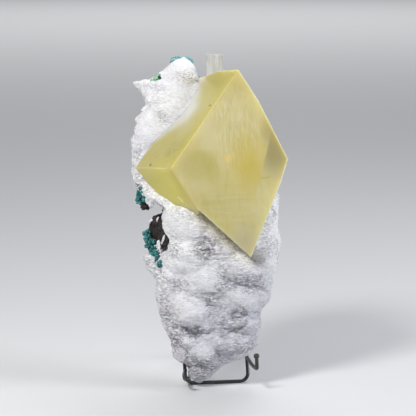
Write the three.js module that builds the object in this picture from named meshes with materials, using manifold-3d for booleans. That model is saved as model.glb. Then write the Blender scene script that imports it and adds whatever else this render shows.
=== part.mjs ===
// Calcite crystal on white mordenite, with a stilbite blade, basalt and celadonite, on a wire stand.
// Millimetres, +Z up, +Y to the back. The origin is on the table, under the middle of the whole.
import * as THREE from 'three';
import { ConvexGeometry } from 'three/addons/geometries/ConvexGeometry.js';
import { mergeVertices } from 'three/addons/utils/BufferGeometryUtils.js';
import Module from 'manifold-3d';

const wasm = await Module();
wasm.setup();

// Clearance between neighbouring pieces.
const gap = 0.33;
const weldTolerance = 1e-4;

// Height above the table that all heights on the specimen itself are counted from.
const specimenBase = -2.2;

// Calcite: corners of the front face that are set by hand, and the left corner behind it.
const apex = new THREE.Vector3(16.3, -26, 175.9);
const frontCorner = new THREE.Vector3(-19.2, -46, 125.5);
const rightCorner = new THREE.Vector3(42.9, -28, 128.2);
const leftCorner = new THREE.Vector3(-39.8, -14, 121.7);
const bendXZ = [-4.8, 103.4];
const tipXZ = [22.9, 77.5];
// Two more corners of the front face, by which its right edges bulge a little.
const crestXZ = [27, 159.3];
const flankXZ = [39.3, 116.8];
// Shares of the body's edges at which the small top facet and the undercut are cut.
const topFacetOnBack = 0.47;
const topFacetOnLeft = 0.925;
const topFacetOnRight = 0.12;
const undercutBack = 0.9;
const undercutUp = 0.35;
// Share of the front face's lower left edge behind which the hidden foot of the rear crystal lies.
const rearFoot = 0.6;
// Corners at which the lower left flank is broken off, as shares of its edges to the back and downwards.
const brokenCorners = [[0.84, 0.62], [0.6, 0.9]];

// Stilbite blade: centre of its foot, sizes, and how far the top slopes down to the right.
const bladeFoot = new THREE.Vector3(3.85, 9, 156);
const bladeWidth = 9.6;
const bladeDepth = 4.2;
const bladeTop = 182.2;
const bladeTopDrop = 0.8;
const bladeBevel = 1.3;

// Mordenite: edges seen from the front as [z, x], front and back surfaces as [z, y].
const mordeniteLeft = [
  [3.6, -5.5], [4.2, -7.4], [6, -9.2], [10, -10.6], [14.6, -11.2], [15.2, -13], [16, -15],
  [18.6, -17], [20.8, -19], [26, -20.2], [31.5, -22.9], [34.2, -24.2], [41, -26.4], [49.8, -28],
  [54.2, -28.5], [58.4, -27.6], [60.6, -28.6], [62, -30.6], [66.4, -33.8], [69, -34.7], [73.2, -35.3],
  [74.6, -32.2], [76.2, -26.4], [77.2, -21.6], [85.4, -24], [94.7, -25.2], [101.8, -24.6],
  [103.4, -31], [105, -35.4], [107.3, -39.9], [113.9, -42.1], [123.8, -41.4], [134.2, -42.9],
  [137, -41], [140.9, -38.4], [145.4, -39.3], [149.8, -37.2], [152, -34.6], [154.3, -32.4],
  [156.5, -33.8], [158.7, -35.4], [161, -37], [163.3, -37.5], [166.8, -39.2], [167.6, -37.7],
  [168, -31], [172.6, -24.9], [174.8, -22.2], [178.7, -19.4], [180, -15.5],
];
const mordeniteRight = [
  [3.6, -4.5], [4.4, -2.2], [6, -0.2], [8.5, 2.8], [11.9, 6.4], [14.1, 9.2], [15.6, 13.6],
  [17.4, 18.6], [20.2, 23.8], [23.4, 26.5], [31.5, 27], [36, 27.8], [41.4, 29], [50.7, 34.2],
  [59, 35.2], [67.8, 39], [79.9, 40], [89.8, 37.8], [97.6, 38.3], [104.6, 39.2], [110.6, 34.4],
  [118.3, 28.9], [137, 20], [154.5, 11.1], [160, 7.8], [165.5, -1.1], [167.7, -4.7], [174.3, -6.9],
  [177, -9.2], [180, -12.5],
];
const mordeniteFront = [
  [3.6, -24], [5.5, -27], [9, -30], [15, -32], [25, -34.5], [40, -36], [60, -36], [80, -37],
  [94, -39], [100, -38.5], [105, -30], [110, -20.5], [116, -11], [155, -10], [165, -7], [174, -3],
  [178, 0.5], [180, 4],
];
const mordeniteBack = [
  [3.6, -21], [5.5, -19.6], [9, -18.5], [15, -17.3], [25, -12.8], [40, -6.3], [60, 2], [75, 8.5],
  [85, 13], [92, 16], [100, 19.5], [110, 21.5], [150, 22], [165, 19], [174, 15], [178, 11.5], [180, 8],
];
const mordeniteBottom = 3.6;
const mordeniteHeight = 176.4;
const mordeniteRows = 42;
const mordeniteColumns = 49;
// Extra rows where the outline steps in and out.
const ledgeRows = [15.3, 74.4, 76.6, 101.9, 103.6, 167.4];
const outlineSmoothing = 1.1;
// Round the back the outline's steps are smoothed more, from one share of the half depth to another.
const backSmoothing = 5.5;
const softFrom = 0.05;
const softTo = 0.45;
// The outline's steps and ledges are what is left when it is averaged over this many millimetres.
const ledgeReach = 9.6;
const notchRounding = 2.5;
const sectionSquareness = 0.86;
// How far the bare form lies inside the outline, so that its lumps reach the outline.
const surfaceInset = 1.4;
// Lumps on the front, as [x, z, half width, half height, height].
const frontLumps = [
  [-13.5, 92.5, 14, 12, 3.8], [-12.3, 77.6, 14, 12, 4], [-1.1, 61.5, 12, 12, 3.2],
  [-10.2, 46.1, 11, 10, 5.5], [17.8, 51, 10.5, 9, 3.4], [20.6, 38.3, 11, 6.5, 3.2],
  [19.9, 69, 11.5, 10, 3.2], [-2.7, 22.1, 10, 8.5, 4.2], [-10.2, 28.5, 6.5, 6, 3],
  [-14.7, 20.5, 6, 5.6, 3], [-22.6, 52.7, 6, 17, 3], [30, 80.1, 10, 17, 2.5],
  [31, 59.3, 6.5, 6, 2.5], [13.5, 27.8, 13, 6.5, 3], [-4.4, 10.9, 7.5, 6, 2],
  [-26.1, 159.9, 11, 9.5, 2.6], [-14.1, 173, 9.5, 8.5, 3], [-31.7, 141.8, 11, 11, 3],
  [-34.8, 117.1, 7.5, 12, 2.5], [-19.5, 152, 13, 16, 3], [33.4, 96, 7, 14, 2],
];
const lumpRoundness = 1.25;
// Where lumps meet, a power of their heights is added up, so that they run into each other softly.
const lumpBlend = 5;
// A hollow in the front where the basalt shows through, written as a lump and taken off.
const frontHollow = [-23.4, 81.4, 3.8, 6.4, 5];
// A moat in the mordenite along the crystal's lower left edge, from one [x, z] to another.
const moatStart = [0, 98.3];
const moatEnd = [24, 75.5];
const moatHalfWidth = 6;
const moatDepth = 4.5;
// Lumps all over: spacing and height of the small ones, and of the large ones on the back.
const smallLumpSpacing = 9;
const smallLumpHeight = 1.8;
const largeLumpSpacing = 21;
const largeLumpHeight = 4.5;

// Basalt: corners of the spur that shows at the left notch, and of the slab on the back.
const basaltSpur = [
  [-33.6, -9, 88.5], [-34, -7, 83.5], [-31.5, -10, 93], [-27, -13, 95], [-25.8, -19, 92.3],
  [-24.8, -22.5, 88.3], [-20.8, -26, 83.5], [-23, -26, 79.4], [-27.5, -18, 79], [-31.5, -12, 79.6],
  [-30, 8, 83], [-27, 9, 93], [-14, 8, 96], [-14, 4, 80],
];
const basaltSlab = [
  [-27, 10, 92], [-24, 21.5, 100], [-26, 22, 116], [-14, 25.5, 128], [2, 26, 132], [17, 22.5, 121],
  [20, 22, 106], [10, 22.6, 99], [-8, 22.4, 98.6], [-18, 15, 90], [-20, 12, 126], [12, 10, 122],
  [14, 10, 104], [-10, 4, 88],
];

// Celadonite grains, as [x, y, z, radius], one list for each crust.
const celadoniteCrusts = {
  celadonite_notch_upper: [
    [-36.9, -10.6, 107.4, 2.2], [-36.2, -11.4, 104.8, 2.3], [-37.7, -8.6, 105, 1.9],
    [-37.3, -8.2, 102.6, 2], [-36, -8.6, 101.6, 1.6],
  ],
  celadonite_notch_lower: [
    [-33.6, -13, 84.6, 1.9], [-32.6, -15, 82.1, 2.1], [-30.8, -16.5, 80.7, 2.1],
    [-31.6, -16.5, 78.2, 2], [-30, -18.5, 76.6, 1.9], [-28.6, -21, 74.7, 2], [-27.8, -23.2, 73.9, 1.8],
    [-27, -25.6, 73, 1.9], [-26.2, -28.2, 71, 1.5],
  ],
  celadonite_shoulder: [[-28.6, -1, 168.6, 1.6], [-26.8, -1.4, 170.2, 1.7]],
  celadonite_crest_left: [[-18.4, 3, 178.7, 1.3], [-16.2, 3.2, 179.6, 1.3]],
  celadonite_crest_right: [[-11.1, 3.6, 179.2, 1.2], [-9.8, 3.4, 178.1, 1.1]],
};
const grainRoughness = 0.16;

// Wire stand: a leaning frame, a rear leg and two hooks, all of one wire.
const wireRadius = 1;
const wireSides = 8;
const standCentre = new THREE.Vector3(5, -21, wireRadius);
const standTurn = THREE.MathUtils.degToRad(8);
const standLean = THREE.MathUtils.degToRad(24);
const frameHalfWidth = 17.5;
const frameCorner = 4.5;
const framePostTop = 79;
const frameButtGap = 0.5;
const archChords = 12;
const levelInset = 1;
const legTop = 52;
const legOffset = 2.55;
const footY = 42.6;
const footCorner = 6;
const hookOffset = 2.55;
const hookSteps = 10;
const ballRadius = 1.6;
const rightHookHeight = 13.3;
const rightHookPoints = [
  [23.6, -26, 12.8], [25.8, -35, 12.5], [26.5, -38.2, 13.4], [26.4, -39, 15.8], [26.2, -39, 20.2],
];
const leftHookHeight = 8;
const leftHookPoints = [[-13.1, -28, 7], [-12.4, -35, 6.2], [-10.8, -38.6, 7.1]];

const finishes = {
  calcite: { color: 0xd2c684, roughness: 0.22, metalness: 0 },
  stilbite: { color: 0xe3e2df, roughness: 0.35, metalness: 0 },
  mordenite: { color: 0xf2f2f5, roughness: 0.95, metalness: 0 },
  basalt: { color: 0x2d2321, roughness: 0.85, metalness: 0 },
  celadonite: { color: 0x2f8f8c, roughness: 0.8, metalness: 0 },
  wire: { color: 0x151515, roughness: 0.4, metalness: 0.6 },
};

const specimen = new THREE.Group();

// A closed geometry with its shared corners merged becomes a solid that can be joined and cut.
function solidOf(geometry) {
  const bare = geometry.clone();
  bare.deleteAttribute('normal');
  bare.deleteAttribute('uv');
  const merged = mergeVertices(bare, weldTolerance);
  const mesh = new wasm.Mesh({
    numProp: 3,
    vertProperties: new Float32Array(merged.attributes.position.array),
    triVerts: new Uint32Array(merged.index.array),
  });
  return new wasm.Manifold(mesh);
}

// The largest separate body of a solid, without the crumbs that a cut leaves.
function largestBody(solid) {
  const bodies = solid.decompose();
  return bodies.reduce((best, body) => (body.volume() > best.volume() ? body : best));
}

function addPiece(name, solid, finish) {
  const data = largestBody(solid).getMesh();
  const geometry = new THREE.BufferGeometry();
  geometry.setAttribute('position', new THREE.BufferAttribute(new Float32Array(data.vertProperties), 3));
  geometry.setIndex(new THREE.BufferAttribute(new Uint32Array(data.triVerts), 1));
  geometry.computeVertexNormals();
  const mesh = new THREE.Mesh(geometry, new THREE.MeshStandardMaterial(finish));
  mesh.name = name;
  specimen.add(mesh);
}

// Hull of corner points, each spread over a small cube when the hull is to be larger by `grow`.
function hull(points, grow = 0) {
  const spread = [];
  for (const point of points) {
    for (let corner = 0; corner < (grow > 0 ? 8 : 1); corner += 1) {
      const offset = new THREE.Vector3(
        corner & 1 ? grow : -grow,
        corner & 2 ? grow : -grow,
        corner & 4 ? grow : -grow,
      );
      spread.push(point.clone().add(offset));
    }
  }
  return solidOf(new ConvexGeometry(spread).translate(0, 0, specimenBase));
}

function vectors(triples) {
  return triples.map((triple) => new THREE.Vector3(...triple));
}

// Calcite

// The point of the plane through the front face at a given x and z.
function onFrontFace([x, z]) {
  const plane = new THREE.Plane().setFromCoplanarPoints(apex, frontCorner, rightCorner);
  const y = -(plane.constant + plane.normal.x * x + plane.normal.z * z) / plane.normal.y;
  return new THREE.Vector3(x, y, z);
}

// Two crystals grown together in one direction: the front one overhangs the mordenite and the rear one
// sits in it.
function calciteSolid(grow = 0) {
  const backward = leftCorner.clone().sub(frontCorner);
  const bend = onFrontFace(bendXZ);
  const tip = onFrontFace(tipXZ);
  const crest = onFrontFace(crestXZ);
  const flank = onFrontFace(flankXZ);
  const topBack = apex.clone().add(backward);
  const rightBack = rightCorner.clone().add(backward);
  const facetBack = apex.clone().addScaledVector(backward, topFacetOnBack);
  const facetLeft = frontCorner.clone().lerp(apex, topFacetOnLeft).add(backward);
  const facetRight = topBack.clone().lerp(rightBack, topFacetOnRight);
  const underTip = tip.clone().lerp(rightCorner, undercutUp).addScaledVector(backward, undercutBack);
  const rearLow = bend.clone().lerp(tip, rearFoot).add(backward);
  const downward = bend.clone().sub(frontCorner);
  const broken = brokenCorners.map(([back, down]) => (
    frontCorner.clone().addScaledVector(backward, back).addScaledVector(downward, down)
  ));
  const front = hull(
    [apex, frontCorner, bend, tip, flank, rightCorner, crest, facetBack, rightBack, underTip],
    grow,
  );
  const rear = hull(
    [
      apex, frontCorner, bend, leftCorner, facetBack, facetLeft, facetRight, rightBack, underTip,
      rearLow, ...broken,
    ],
    grow,
  );
  return front.add(rear);
}

// Stilbite

// A flat blade with bevelled sides, its top sloping a little.
function stilbiteSolid(grow = 0) {
  const halfWidth = bladeWidth / 2;
  const halfDepth = bladeDepth / 2;
  const outline = [
    [-halfWidth, 0], [-halfWidth + bladeBevel, -halfDepth], [halfWidth - bladeBevel, -halfDepth],
    [halfWidth, 0], [halfWidth - bladeBevel, halfDepth], [-halfWidth + bladeBevel, halfDepth],
  ];
  const corners = [];
  for (const [x, y] of outline) {
    const top = bladeTop - bladeTopDrop * (x / bladeWidth + 0.5);
    corners.push(new THREE.Vector3(bladeFoot.x + x, bladeFoot.y + y, bladeFoot.z));
    corners.push(new THREE.Vector3(bladeFoot.x + x, bladeFoot.y + y, top));
  }
  return hull(corners, grow);
}

// Mordenite

function tableAt(table, key) {
  let index = 1;
  while (index < table.length - 1 && table[index][0] < key) {
    index += 1;
  }
  const [keyA, valueA] = table[index - 1];
  const [keyB, valueB] = table[index];
  const share = THREE.MathUtils.clamp((key - keyA) / (keyB - keyA), 0, 1);
  return valueA + (valueB - valueA) * share;
}

// A table read at three neighbouring heights and averaged, so that its corners are rounded.
function smoothAt(table, key, reach = outlineSmoothing) {
  const before = tableAt(table, key - reach);
  const after = tableAt(table, key + reach);
  return (before + 2 * tableAt(table, key) + after) / 4;
}

// An outline that is sharp at the edge and on the front, and softer the further back the point lies.
function outlineRound(table, key, backward) {
  const softness = THREE.MathUtils.smoothstep(backward, softFrom, softTo);
  return THREE.MathUtils.lerp(smoothAt(table, key), smoothAt(table, key, backSmoothing), softness);
}

// A number from 0 to 1 that depends only on the cell and the salt.
function cellNumber(ix, iy, iz, salt) {
  let mix = Math.imul(ix, 374761393) + Math.imul(iy, 668265263);
  mix += Math.imul(iz, 1274126177) + Math.imul(salt, 974634777);
  mix = Math.imul((mix ^ (mix >>> 13)) >>> 0, 1103515245);
  mix = Math.imul((mix ^ (mix >>> 15)) >>> 0, 668265263);
  return ((mix ^ (mix >>> 16)) >>> 0) / 4294967296;
}

// Rounded lumps, one for each cell of a loose lattice, meeting in creases: 1 on top, 0 far away.
function cellLumps(point, spacing, salt) {
  const cellX = Math.floor(point.x / spacing);
  const cellY = Math.floor(point.y / spacing);
  const cellZ = Math.floor(point.z / spacing);
  let nearest = 4;
  for (let ix = cellX - 1; ix <= cellX + 1; ix += 1) {
    for (let iy = cellY - 1; iy <= cellY + 1; iy += 1) {
      for (let iz = cellZ - 1; iz <= cellZ + 1; iz += 1) {
        const dx = ix + cellNumber(ix, iy, iz, salt) - point.x / spacing;
        const dy = iy + cellNumber(ix, iy, iz, salt + 1) - point.y / spacing;
        const dz = iz + cellNumber(ix, iy, iz, salt + 2) - point.z / spacing;
        nearest = Math.min(nearest, dx * dx + dy * dy + dz * dz);
      }
    }
  }
  return Math.max(0, 1 - nearest);
}

// The outline without its ledges: its mean over a reach that shrinks towards both ends.
function broadAt(table, key) {
  const toEnd = Math.min(key - mordeniteBottom, mordeniteBottom + mordeniteHeight - key);
  const reach = Math.min(ledgeReach, Math.max(toEnd, 0));
  let sum = 0;
  for (let tap = -3; tap <= 3; tap += 1) {
    sum += tableAt(table, key + (reach * tap) / 3);
  }
  return sum / 7;
}

// Moves x to one side's true outline: a ledge bulges out near the edge, a notch cuts in behind it.
// Here x and the outlines are measured away from the middle of that side.
function withLedges(x, broad, detailed, edgeShare) {
  const step = detailed - broad;
  if (step > 0) {
    return x + step * Math.max(0, edgeShare) ** 4;
  }
  const rounding = Math.min(notchRounding, -step);
  return (x + detailed - Math.hypot(x - detailed, rounding)) / 2;
}

// The bare form: at each height a squarish ring between the left, right, front and back outlines.
function mordeniteRing(z, angle) {
  const left = broadAt(mordeniteLeft, z);
  const right = broadAt(mordeniteRight, z);
  const front = smoothAt(mordeniteFront, z);
  const back = smoothAt(mordeniteBack, z);
  const across = Math.sign(Math.cos(angle)) * Math.abs(Math.cos(angle)) ** sectionSquareness;
  const along = Math.sign(Math.sin(angle)) * Math.abs(Math.sin(angle)) ** sectionSquareness;
  const middle = (left + right) / 2;
  const bareX = middle + ((right - left) / 2) * across;
  const x = across > 0
    ? withLedges(bareX, right, outlineRound(mordeniteRight, z, along), across)
    : -withLedges(-bareX, -left, -outlineRound(mordeniteLeft, z, along), -across);
  const y = (front + back) / 2 + ((back - front) / 2) * along;
  return new THREE.Vector3(x, y, z);
}

// The height over one point of an oval dome on the front.
function domeAt(point, [x, z, halfWidth, halfHeight, height]) {
  const reach = ((point.x - x) / halfWidth) ** 2 + ((point.z - z) / halfHeight) ** 2;
  return height * Math.max(0, 1 - reach) ** lumpRoundness;
}

// How deep the moat is at a point: deepest on its line, nothing beyond its half width.
function moatAt(point) {
  const along = new THREE.Vector2(...moatEnd).sub(new THREE.Vector2(...moatStart));
  const flat = new THREE.Vector2(point.x, point.z).sub(new THREE.Vector2(...moatStart));
  const share = THREE.MathUtils.clamp(flat.dot(along) / along.lengthSq(), 0, 1);
  const away = flat.addScaledVector(along, -share).length();
  return moatDepth * (1 - THREE.MathUtils.smoothstep(away, 0, moatHalfWidth));
}

function lumpHeight(point, normal) {
  const frontness = THREE.MathUtils.smoothstep(-normal.y, 0, 0.5);
  // The large lumps stay off the top and the underside, which keep their outline.
  const upright = 1 - THREE.MathUtils.smoothstep(Math.abs(normal.z), 0.1, 0.6);
  const backness = upright * THREE.MathUtils.smoothstep(normal.y, 0.1, 0.6);
  let powers = 0;
  for (const lump of frontLumps) {
    powers += domeAt(point, lump) ** lumpBlend;
  }
  const raised = powers ** (1 / lumpBlend);
  const sunken = domeAt(point, frontHollow) + moatAt(point);
  const large = backness * largeLumpHeight * cellLumps(point, largeLumpSpacing, 5);
  const small = smallLumpHeight * cellLumps(point, smallLumpSpacing, 11);
  return frontness * (raised - sunken) + large + small - surfaceInset;
}

// A grid of rings from the tip to the crest, pushed out along its own normals by the lumps.
function mordeniteSolid() {
  const heights = [...ledgeRows];
  for (let row = 0; row <= mordeniteRows; row += 1) {
    const share = row / mordeniteRows;
    // Rows lie closer together towards both ends.
    const eased = share - 0.07 * Math.sin(2 * Math.PI * share);
    heights.push(mordeniteBottom + mordeniteHeight * eased);
  }
  heights.sort((a, b) => a - b);
  const ringAt = (row, column) => mordeniteRing(heights[row], (2 * Math.PI * column) / mordeniteColumns);
  const positions = [];
  for (let row = 0; row < heights.length; row += 1) {
    for (let column = 0; column < mordeniteColumns; column += 1) {
      const point = ringAt(row, column);
      const along = ringAt(row, column + 1).sub(ringAt(row, column - 1));
      const above = ringAt(Math.min(row + 1, heights.length - 1), column);
      const up = above.sub(ringAt(Math.max(row - 1, 0), column));
      const normal = along.cross(up).normalize();
      point.addScaledVector(normal, lumpHeight(point, normal));
      positions.push(point.x, point.y, point.z);
    }
  }
  const triangles = [];
  const at = (row, column) => row * mordeniteColumns + (column % mordeniteColumns);
  for (let row = 0; row < heights.length - 1; row += 1) {
    for (let column = 0; column < mordeniteColumns; column += 1) {
      triangles.push(at(row, column), at(row, column + 1), at(row + 1, column + 1));
      triangles.push(at(row, column), at(row + 1, column + 1), at(row + 1, column));
    }
  }
  closeRing(positions, triangles, 0, mordeniteColumns, false);
  closeRing(positions, triangles, at(heights.length - 1, 0), mordeniteColumns, true);
  const geometry = new THREE.BufferGeometry();
  geometry.setAttribute('position', new THREE.Float32BufferAttribute(positions, 3));
  geometry.setIndex(triangles);
  geometry.translate(0, 0, specimenBase);
  return solidOf(geometry);
}

// A fan of triangles from the middle of a ring closes it, facing up or down.
function closeRing(positions, triangles, first, count, facesUp) {
  const middle = new THREE.Vector3();
  for (let index = first; index < first + count; index += 1) {
    middle.add(new THREE.Vector3().fromArray(positions, 3 * index));
  }
  middle.divideScalar(count);
  const pole = positions.length / 3;
  positions.push(middle.x, middle.y, middle.z);
  for (let step = 0; step < count; step += 1) {
    const here = first + step;
    const next = first + ((step + 1) % count);
    triangles.push(pole, facesUp ? here : next, facesUp ? next : here);
  }
}

// Basalt

function basaltSolid(grow = 0) {
  return hull(vectors(basaltSpur), grow).add(hull(vectors(basaltSlab), grow));
}

// Celadonite

// A rough grain: a dodecahedron whose corners are moved in and out.
function grainSolid([x, y, z, radius], salt, grow) {
  const geometry = new THREE.DodecahedronGeometry(1);
  const position = geometry.attributes.position;
  for (let index = 0; index < position.count; index += 1) {
    const corner = new THREE.Vector3().fromBufferAttribute(position, index);
    const key = corner.clone().multiplyScalar(50).round();
    const rough = 1 + grainRoughness * (2 * cellNumber(key.x, key.y, key.z, salt) - 1);
    corner.multiplyScalar(radius * rough + grow);
    position.setXYZ(index, x + corner.x, y + corner.y, z + corner.z + specimenBase);
  }
  return solidOf(geometry);
}

function crustSolid(grains, grow = 0) {
  const solids = grains.map((grain, index) => grainSolid(grain, index + 1, grow));
  return solids.reduce((joined, solid) => joined.add(solid));
}

// Stand

// A wire bent through points: straight runs and the short chords of its bends, each one step long.
class BentWire extends THREE.Curve {
  constructor(points) {
    super();
    this.points = points;
  }

  getPoint(share, target = new THREE.Vector3()) {
    const place = share * (this.points.length - 1);
    const index = Math.min(Math.floor(place + 1e-9), this.points.length - 2);
    return target.lerpVectors(this.points[index], this.points[index + 1], place - index);
  }

  getPointAt(share, target) {
    return this.getPoint(share, target);
  }

  getTangentAt(share, target = new THREE.Vector3()) {
    const index = Math.round(share * (this.points.length - 1));
    const before = this.points[Math.max(index - 1, 0)];
    const here = this.points[index];
    const after = this.points[Math.min(index + 1, this.points.length - 1)];
    const arriving = here.clone().sub(before).normalize();
    const leaving = after.clone().sub(here).normalize();
    return target.copy(arriving).add(leaving).normalize();
  }
}

// Replaces the corner at `corner` by an arc of `radius`, as a list of points.
function roundedCorner(before, corner, after, radius, chords = 5) {
  const back = before.clone().sub(corner).normalize();
  const ahead = after.clone().sub(corner).normalize();
  const half = back.angleTo(ahead) / 2;
  const start = corner.clone().addScaledVector(back, radius / Math.tan(half));
  const inward = back.clone().add(ahead).normalize();
  const centre = corner.clone().addScaledVector(inward, radius / Math.sin(half));
  const spoke = start.clone().sub(centre);
  const axis = back.clone().cross(ahead).normalize();
  const turn = Math.PI - 2 * half;
  const arc = [];
  for (let step = 0; step <= chords; step += 1) {
    arc.push(spoke.clone().applyAxisAngle(axis, (-turn * step) / chords).add(centre));
  }
  return arc;
}

// Sweeps the wire's section along points; at point `levelAt` a flat of the section faces down.
function wireSolid(points, levelAt, grow = 0) {
  const path = new BentWire(points);
  const steps = points.length - 1;
  const frames = path.computeFrenetFrames(steps, false);
  const down = Math.atan2(frames.binormals[levelAt].z, frames.normals[levelAt].z);
  const cornerRadius = (wireRadius + grow) / Math.cos(Math.PI / wireSides);
  const section = new THREE.Shape();
  for (let side = 0; side < wireSides; side += 1) {
    const angle = down + (2 * Math.PI * (side + 0.5)) / wireSides;
    const x = cornerRadius * Math.cos(angle);
    const y = cornerRadius * Math.sin(angle);
    if (side === 0) {
      section.moveTo(x, y);
    } else {
      section.lineTo(x, y);
    }
  }
  section.closePath();
  return solidOf(new THREE.ExtrudeGeometry(section, { steps, extrudePath: path, bevelEnabled: false }));
}

const standAcross = new THREE.Vector3(Math.cos(standTurn), Math.sin(standTurn), 0);
const standBack = new THREE.Vector3(-Math.sin(standTurn), Math.cos(standTurn), 0);

// A point of the leaning frame: `across` from its middle and `rise` up along the lean.
function framePoint(across, rise) {
  return standCentre.clone()
    .addScaledVector(standAcross, across)
    .addScaledVector(standBack, rise * Math.sin(standLean))
    .add(new THREE.Vector3(0, 0, rise * Math.cos(standLean)));
}

// Half of the round arch, from the butt joint on top down to one post.
function archPoints(side) {
  const buttAngle = frameButtGap / frameHalfWidth / 2;
  const points = [];
  for (let step = 0; step <= archChords; step += 1) {
    const angle = THREE.MathUtils.lerp(buttAngle, Math.PI / 2, step / archChords);
    const across = side * frameHalfWidth * Math.sin(angle);
    points.push(framePoint(across, framePostTop + frameHalfWidth * Math.cos(angle)));
  }
  return points;
}

// Two points of a straight bar, just inside its bends, between which its section is exact.
function levelPair(from, to, bendRadius) {
  const inset = (bendRadius + levelInset) / from.distanceTo(to);
  return [from.clone().lerp(to, inset), from.clone().lerp(to, 1 - inset)];
}

// One loop: bar, posts and a round arch, whose two wire ends butt together on top.
function framePoints() {
  const right = archPoints(1);
  const left = archPoints(-1).reverse();
  const rightFoot = framePoint(frameHalfWidth, 0);
  const leftFoot = framePoint(-frameHalfWidth, 0);
  const rightBend = roundedCorner(right[archChords], rightFoot, leftFoot, frameCorner);
  const leftBend = roundedCorner(rightFoot, leftFoot, left[0], frameCorner);
  const bar = levelPair(rightFoot, leftFoot, frameCorner);
  const points = [...right, ...rightBend, ...bar, ...leftBend, ...left];
  return { points, level: right.length + rightBend.length };
}

// A U of wire from the posts down to a foot bar behind.
function legPoints() {
  const [leftTop, rightTop] = [-1, 1].map((side) => {
    return framePoint(side * frameHalfWidth, legTop).addScaledVector(standBack, legOffset);
  });
  const [leftFoot, rightFoot] = [-1, 1].map((side) => {
    const middle = new THREE.Vector3(standCentre.x, footY, wireRadius);
    return middle.addScaledVector(standAcross, side * frameHalfWidth);
  });
  const leftBend = roundedCorner(leftTop, leftFoot, rightFoot, footCorner);
  const rightBend = roundedCorner(leftFoot, rightFoot, rightTop, footCorner);
  const bar = levelPair(leftFoot, rightFoot, footCorner);
  return { points: [leftTop, ...leftBend, ...bar, ...rightBend, rightTop], level: 1 + leftBend.length };
}

// An arm from a post to the front, ending in a small ball.
function hookSolid(side, height, points, grow = 0) {
  const rise = (height - wireRadius) / Math.cos(standLean);
  const start = framePoint(side * frameHalfWidth, rise).addScaledVector(standBack, -hookOffset);
  const path = new THREE.CatmullRomCurve3([start, ...vectors(points)], false, 'centripetal');
  const wire = wireSolid(path.getPoints(hookSteps), 0, grow);
  const ball = new THREE.IcosahedronGeometry(ballRadius + grow, 1);
  ball.translate(...points[points.length - 1]);
  return wire.add(solidOf(ball));
}

function standSolids(grow = 0) {
  const frame = framePoints();
  const leg = legPoints();
  return {
    stand_frame: wireSolid(frame.points, frame.level, grow),
    stand_rear_leg: wireSolid(leg.points, leg.level, grow),
    stand_hook_right: hookSolid(1, rightHookHeight, rightHookPoints, grow),
    stand_hook_left: hookSolid(-1, leftHookHeight, leftHookPoints, grow),
  };
}

// Assembly: each piece is cut back from the pieces that it wraps, so that a fine gap is left.

let crusts = null;
for (const grains of Object.values(celadoniteCrusts)) {
  const grown = crustSolid(grains, gap);
  crusts = crusts ? crusts.add(grown) : grown;
}
const wires = Object.values(standSolids(gap)).reduce((joined, wire) => joined.add(wire));
const basalt = basaltSolid().subtract(crusts).subtract(wires).subtract(calciteSolid(gap));
const matrix = mordeniteSolid()
  .subtract(calciteSolid(gap))
  .subtract(stilbiteSolid(gap))
  .subtract(basaltSolid(gap))
  .subtract(crusts)
  .subtract(wires);

addPiece('calcite_crystal', calciteSolid(), finishes.calcite);
addPiece('stilbite_blade', stilbiteSolid(), finishes.stilbite);
addPiece('mordenite_matrix', matrix, finishes.mordenite);
addPiece('basalt_matrix', basalt, finishes.basalt);
for (const [name, grains] of Object.entries(celadoniteCrusts)) {
  addPiece(name, crustSolid(grains), finishes.celadonite);
}
for (const [name, wire] of Object.entries(standSolids())) {
  addPiece(name, wire, finishes.wire);
}

export default specimen;
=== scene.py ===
# Calcite on mordenite on a wire stand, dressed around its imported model.
# Metres, +Z up, the camera looks along +Y. Shapes are worked out in millimetres and placed by placed().
import itertools
import math

import bmesh
import bpy
import numpy as np
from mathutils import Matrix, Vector


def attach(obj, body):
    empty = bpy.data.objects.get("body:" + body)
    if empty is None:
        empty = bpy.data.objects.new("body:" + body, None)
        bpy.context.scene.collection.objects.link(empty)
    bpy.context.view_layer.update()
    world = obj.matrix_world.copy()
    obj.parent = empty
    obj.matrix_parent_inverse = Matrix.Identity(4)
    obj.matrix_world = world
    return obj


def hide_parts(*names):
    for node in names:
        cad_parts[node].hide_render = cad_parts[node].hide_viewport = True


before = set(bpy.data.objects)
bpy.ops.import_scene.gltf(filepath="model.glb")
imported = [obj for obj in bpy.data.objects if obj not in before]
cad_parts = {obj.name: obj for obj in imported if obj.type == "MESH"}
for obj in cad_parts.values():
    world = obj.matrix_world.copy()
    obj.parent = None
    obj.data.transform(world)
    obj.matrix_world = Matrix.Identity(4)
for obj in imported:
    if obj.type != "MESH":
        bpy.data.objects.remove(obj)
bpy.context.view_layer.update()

mm = 0.001
specimenBase = -2.2  # mm above the table: the level that heights on the specimen are counted from


def placed(points, base=specimenBase):
    # points in mm, counted from a base height, put into the frame in metres
    return (np.asarray(points, float) + (0, 0, base)) * mm


def unit(vectors):
    # each vector divided by its length
    return vectors / np.maximum(np.linalg.norm(vectors, axis=-1, keepdims=True), 1e-12)


def addObject(name, data):
    item = bpy.data.objects.new(name, data)
    bpy.context.collection.objects.link(item)
    return item


# Camera, floor and light

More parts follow.
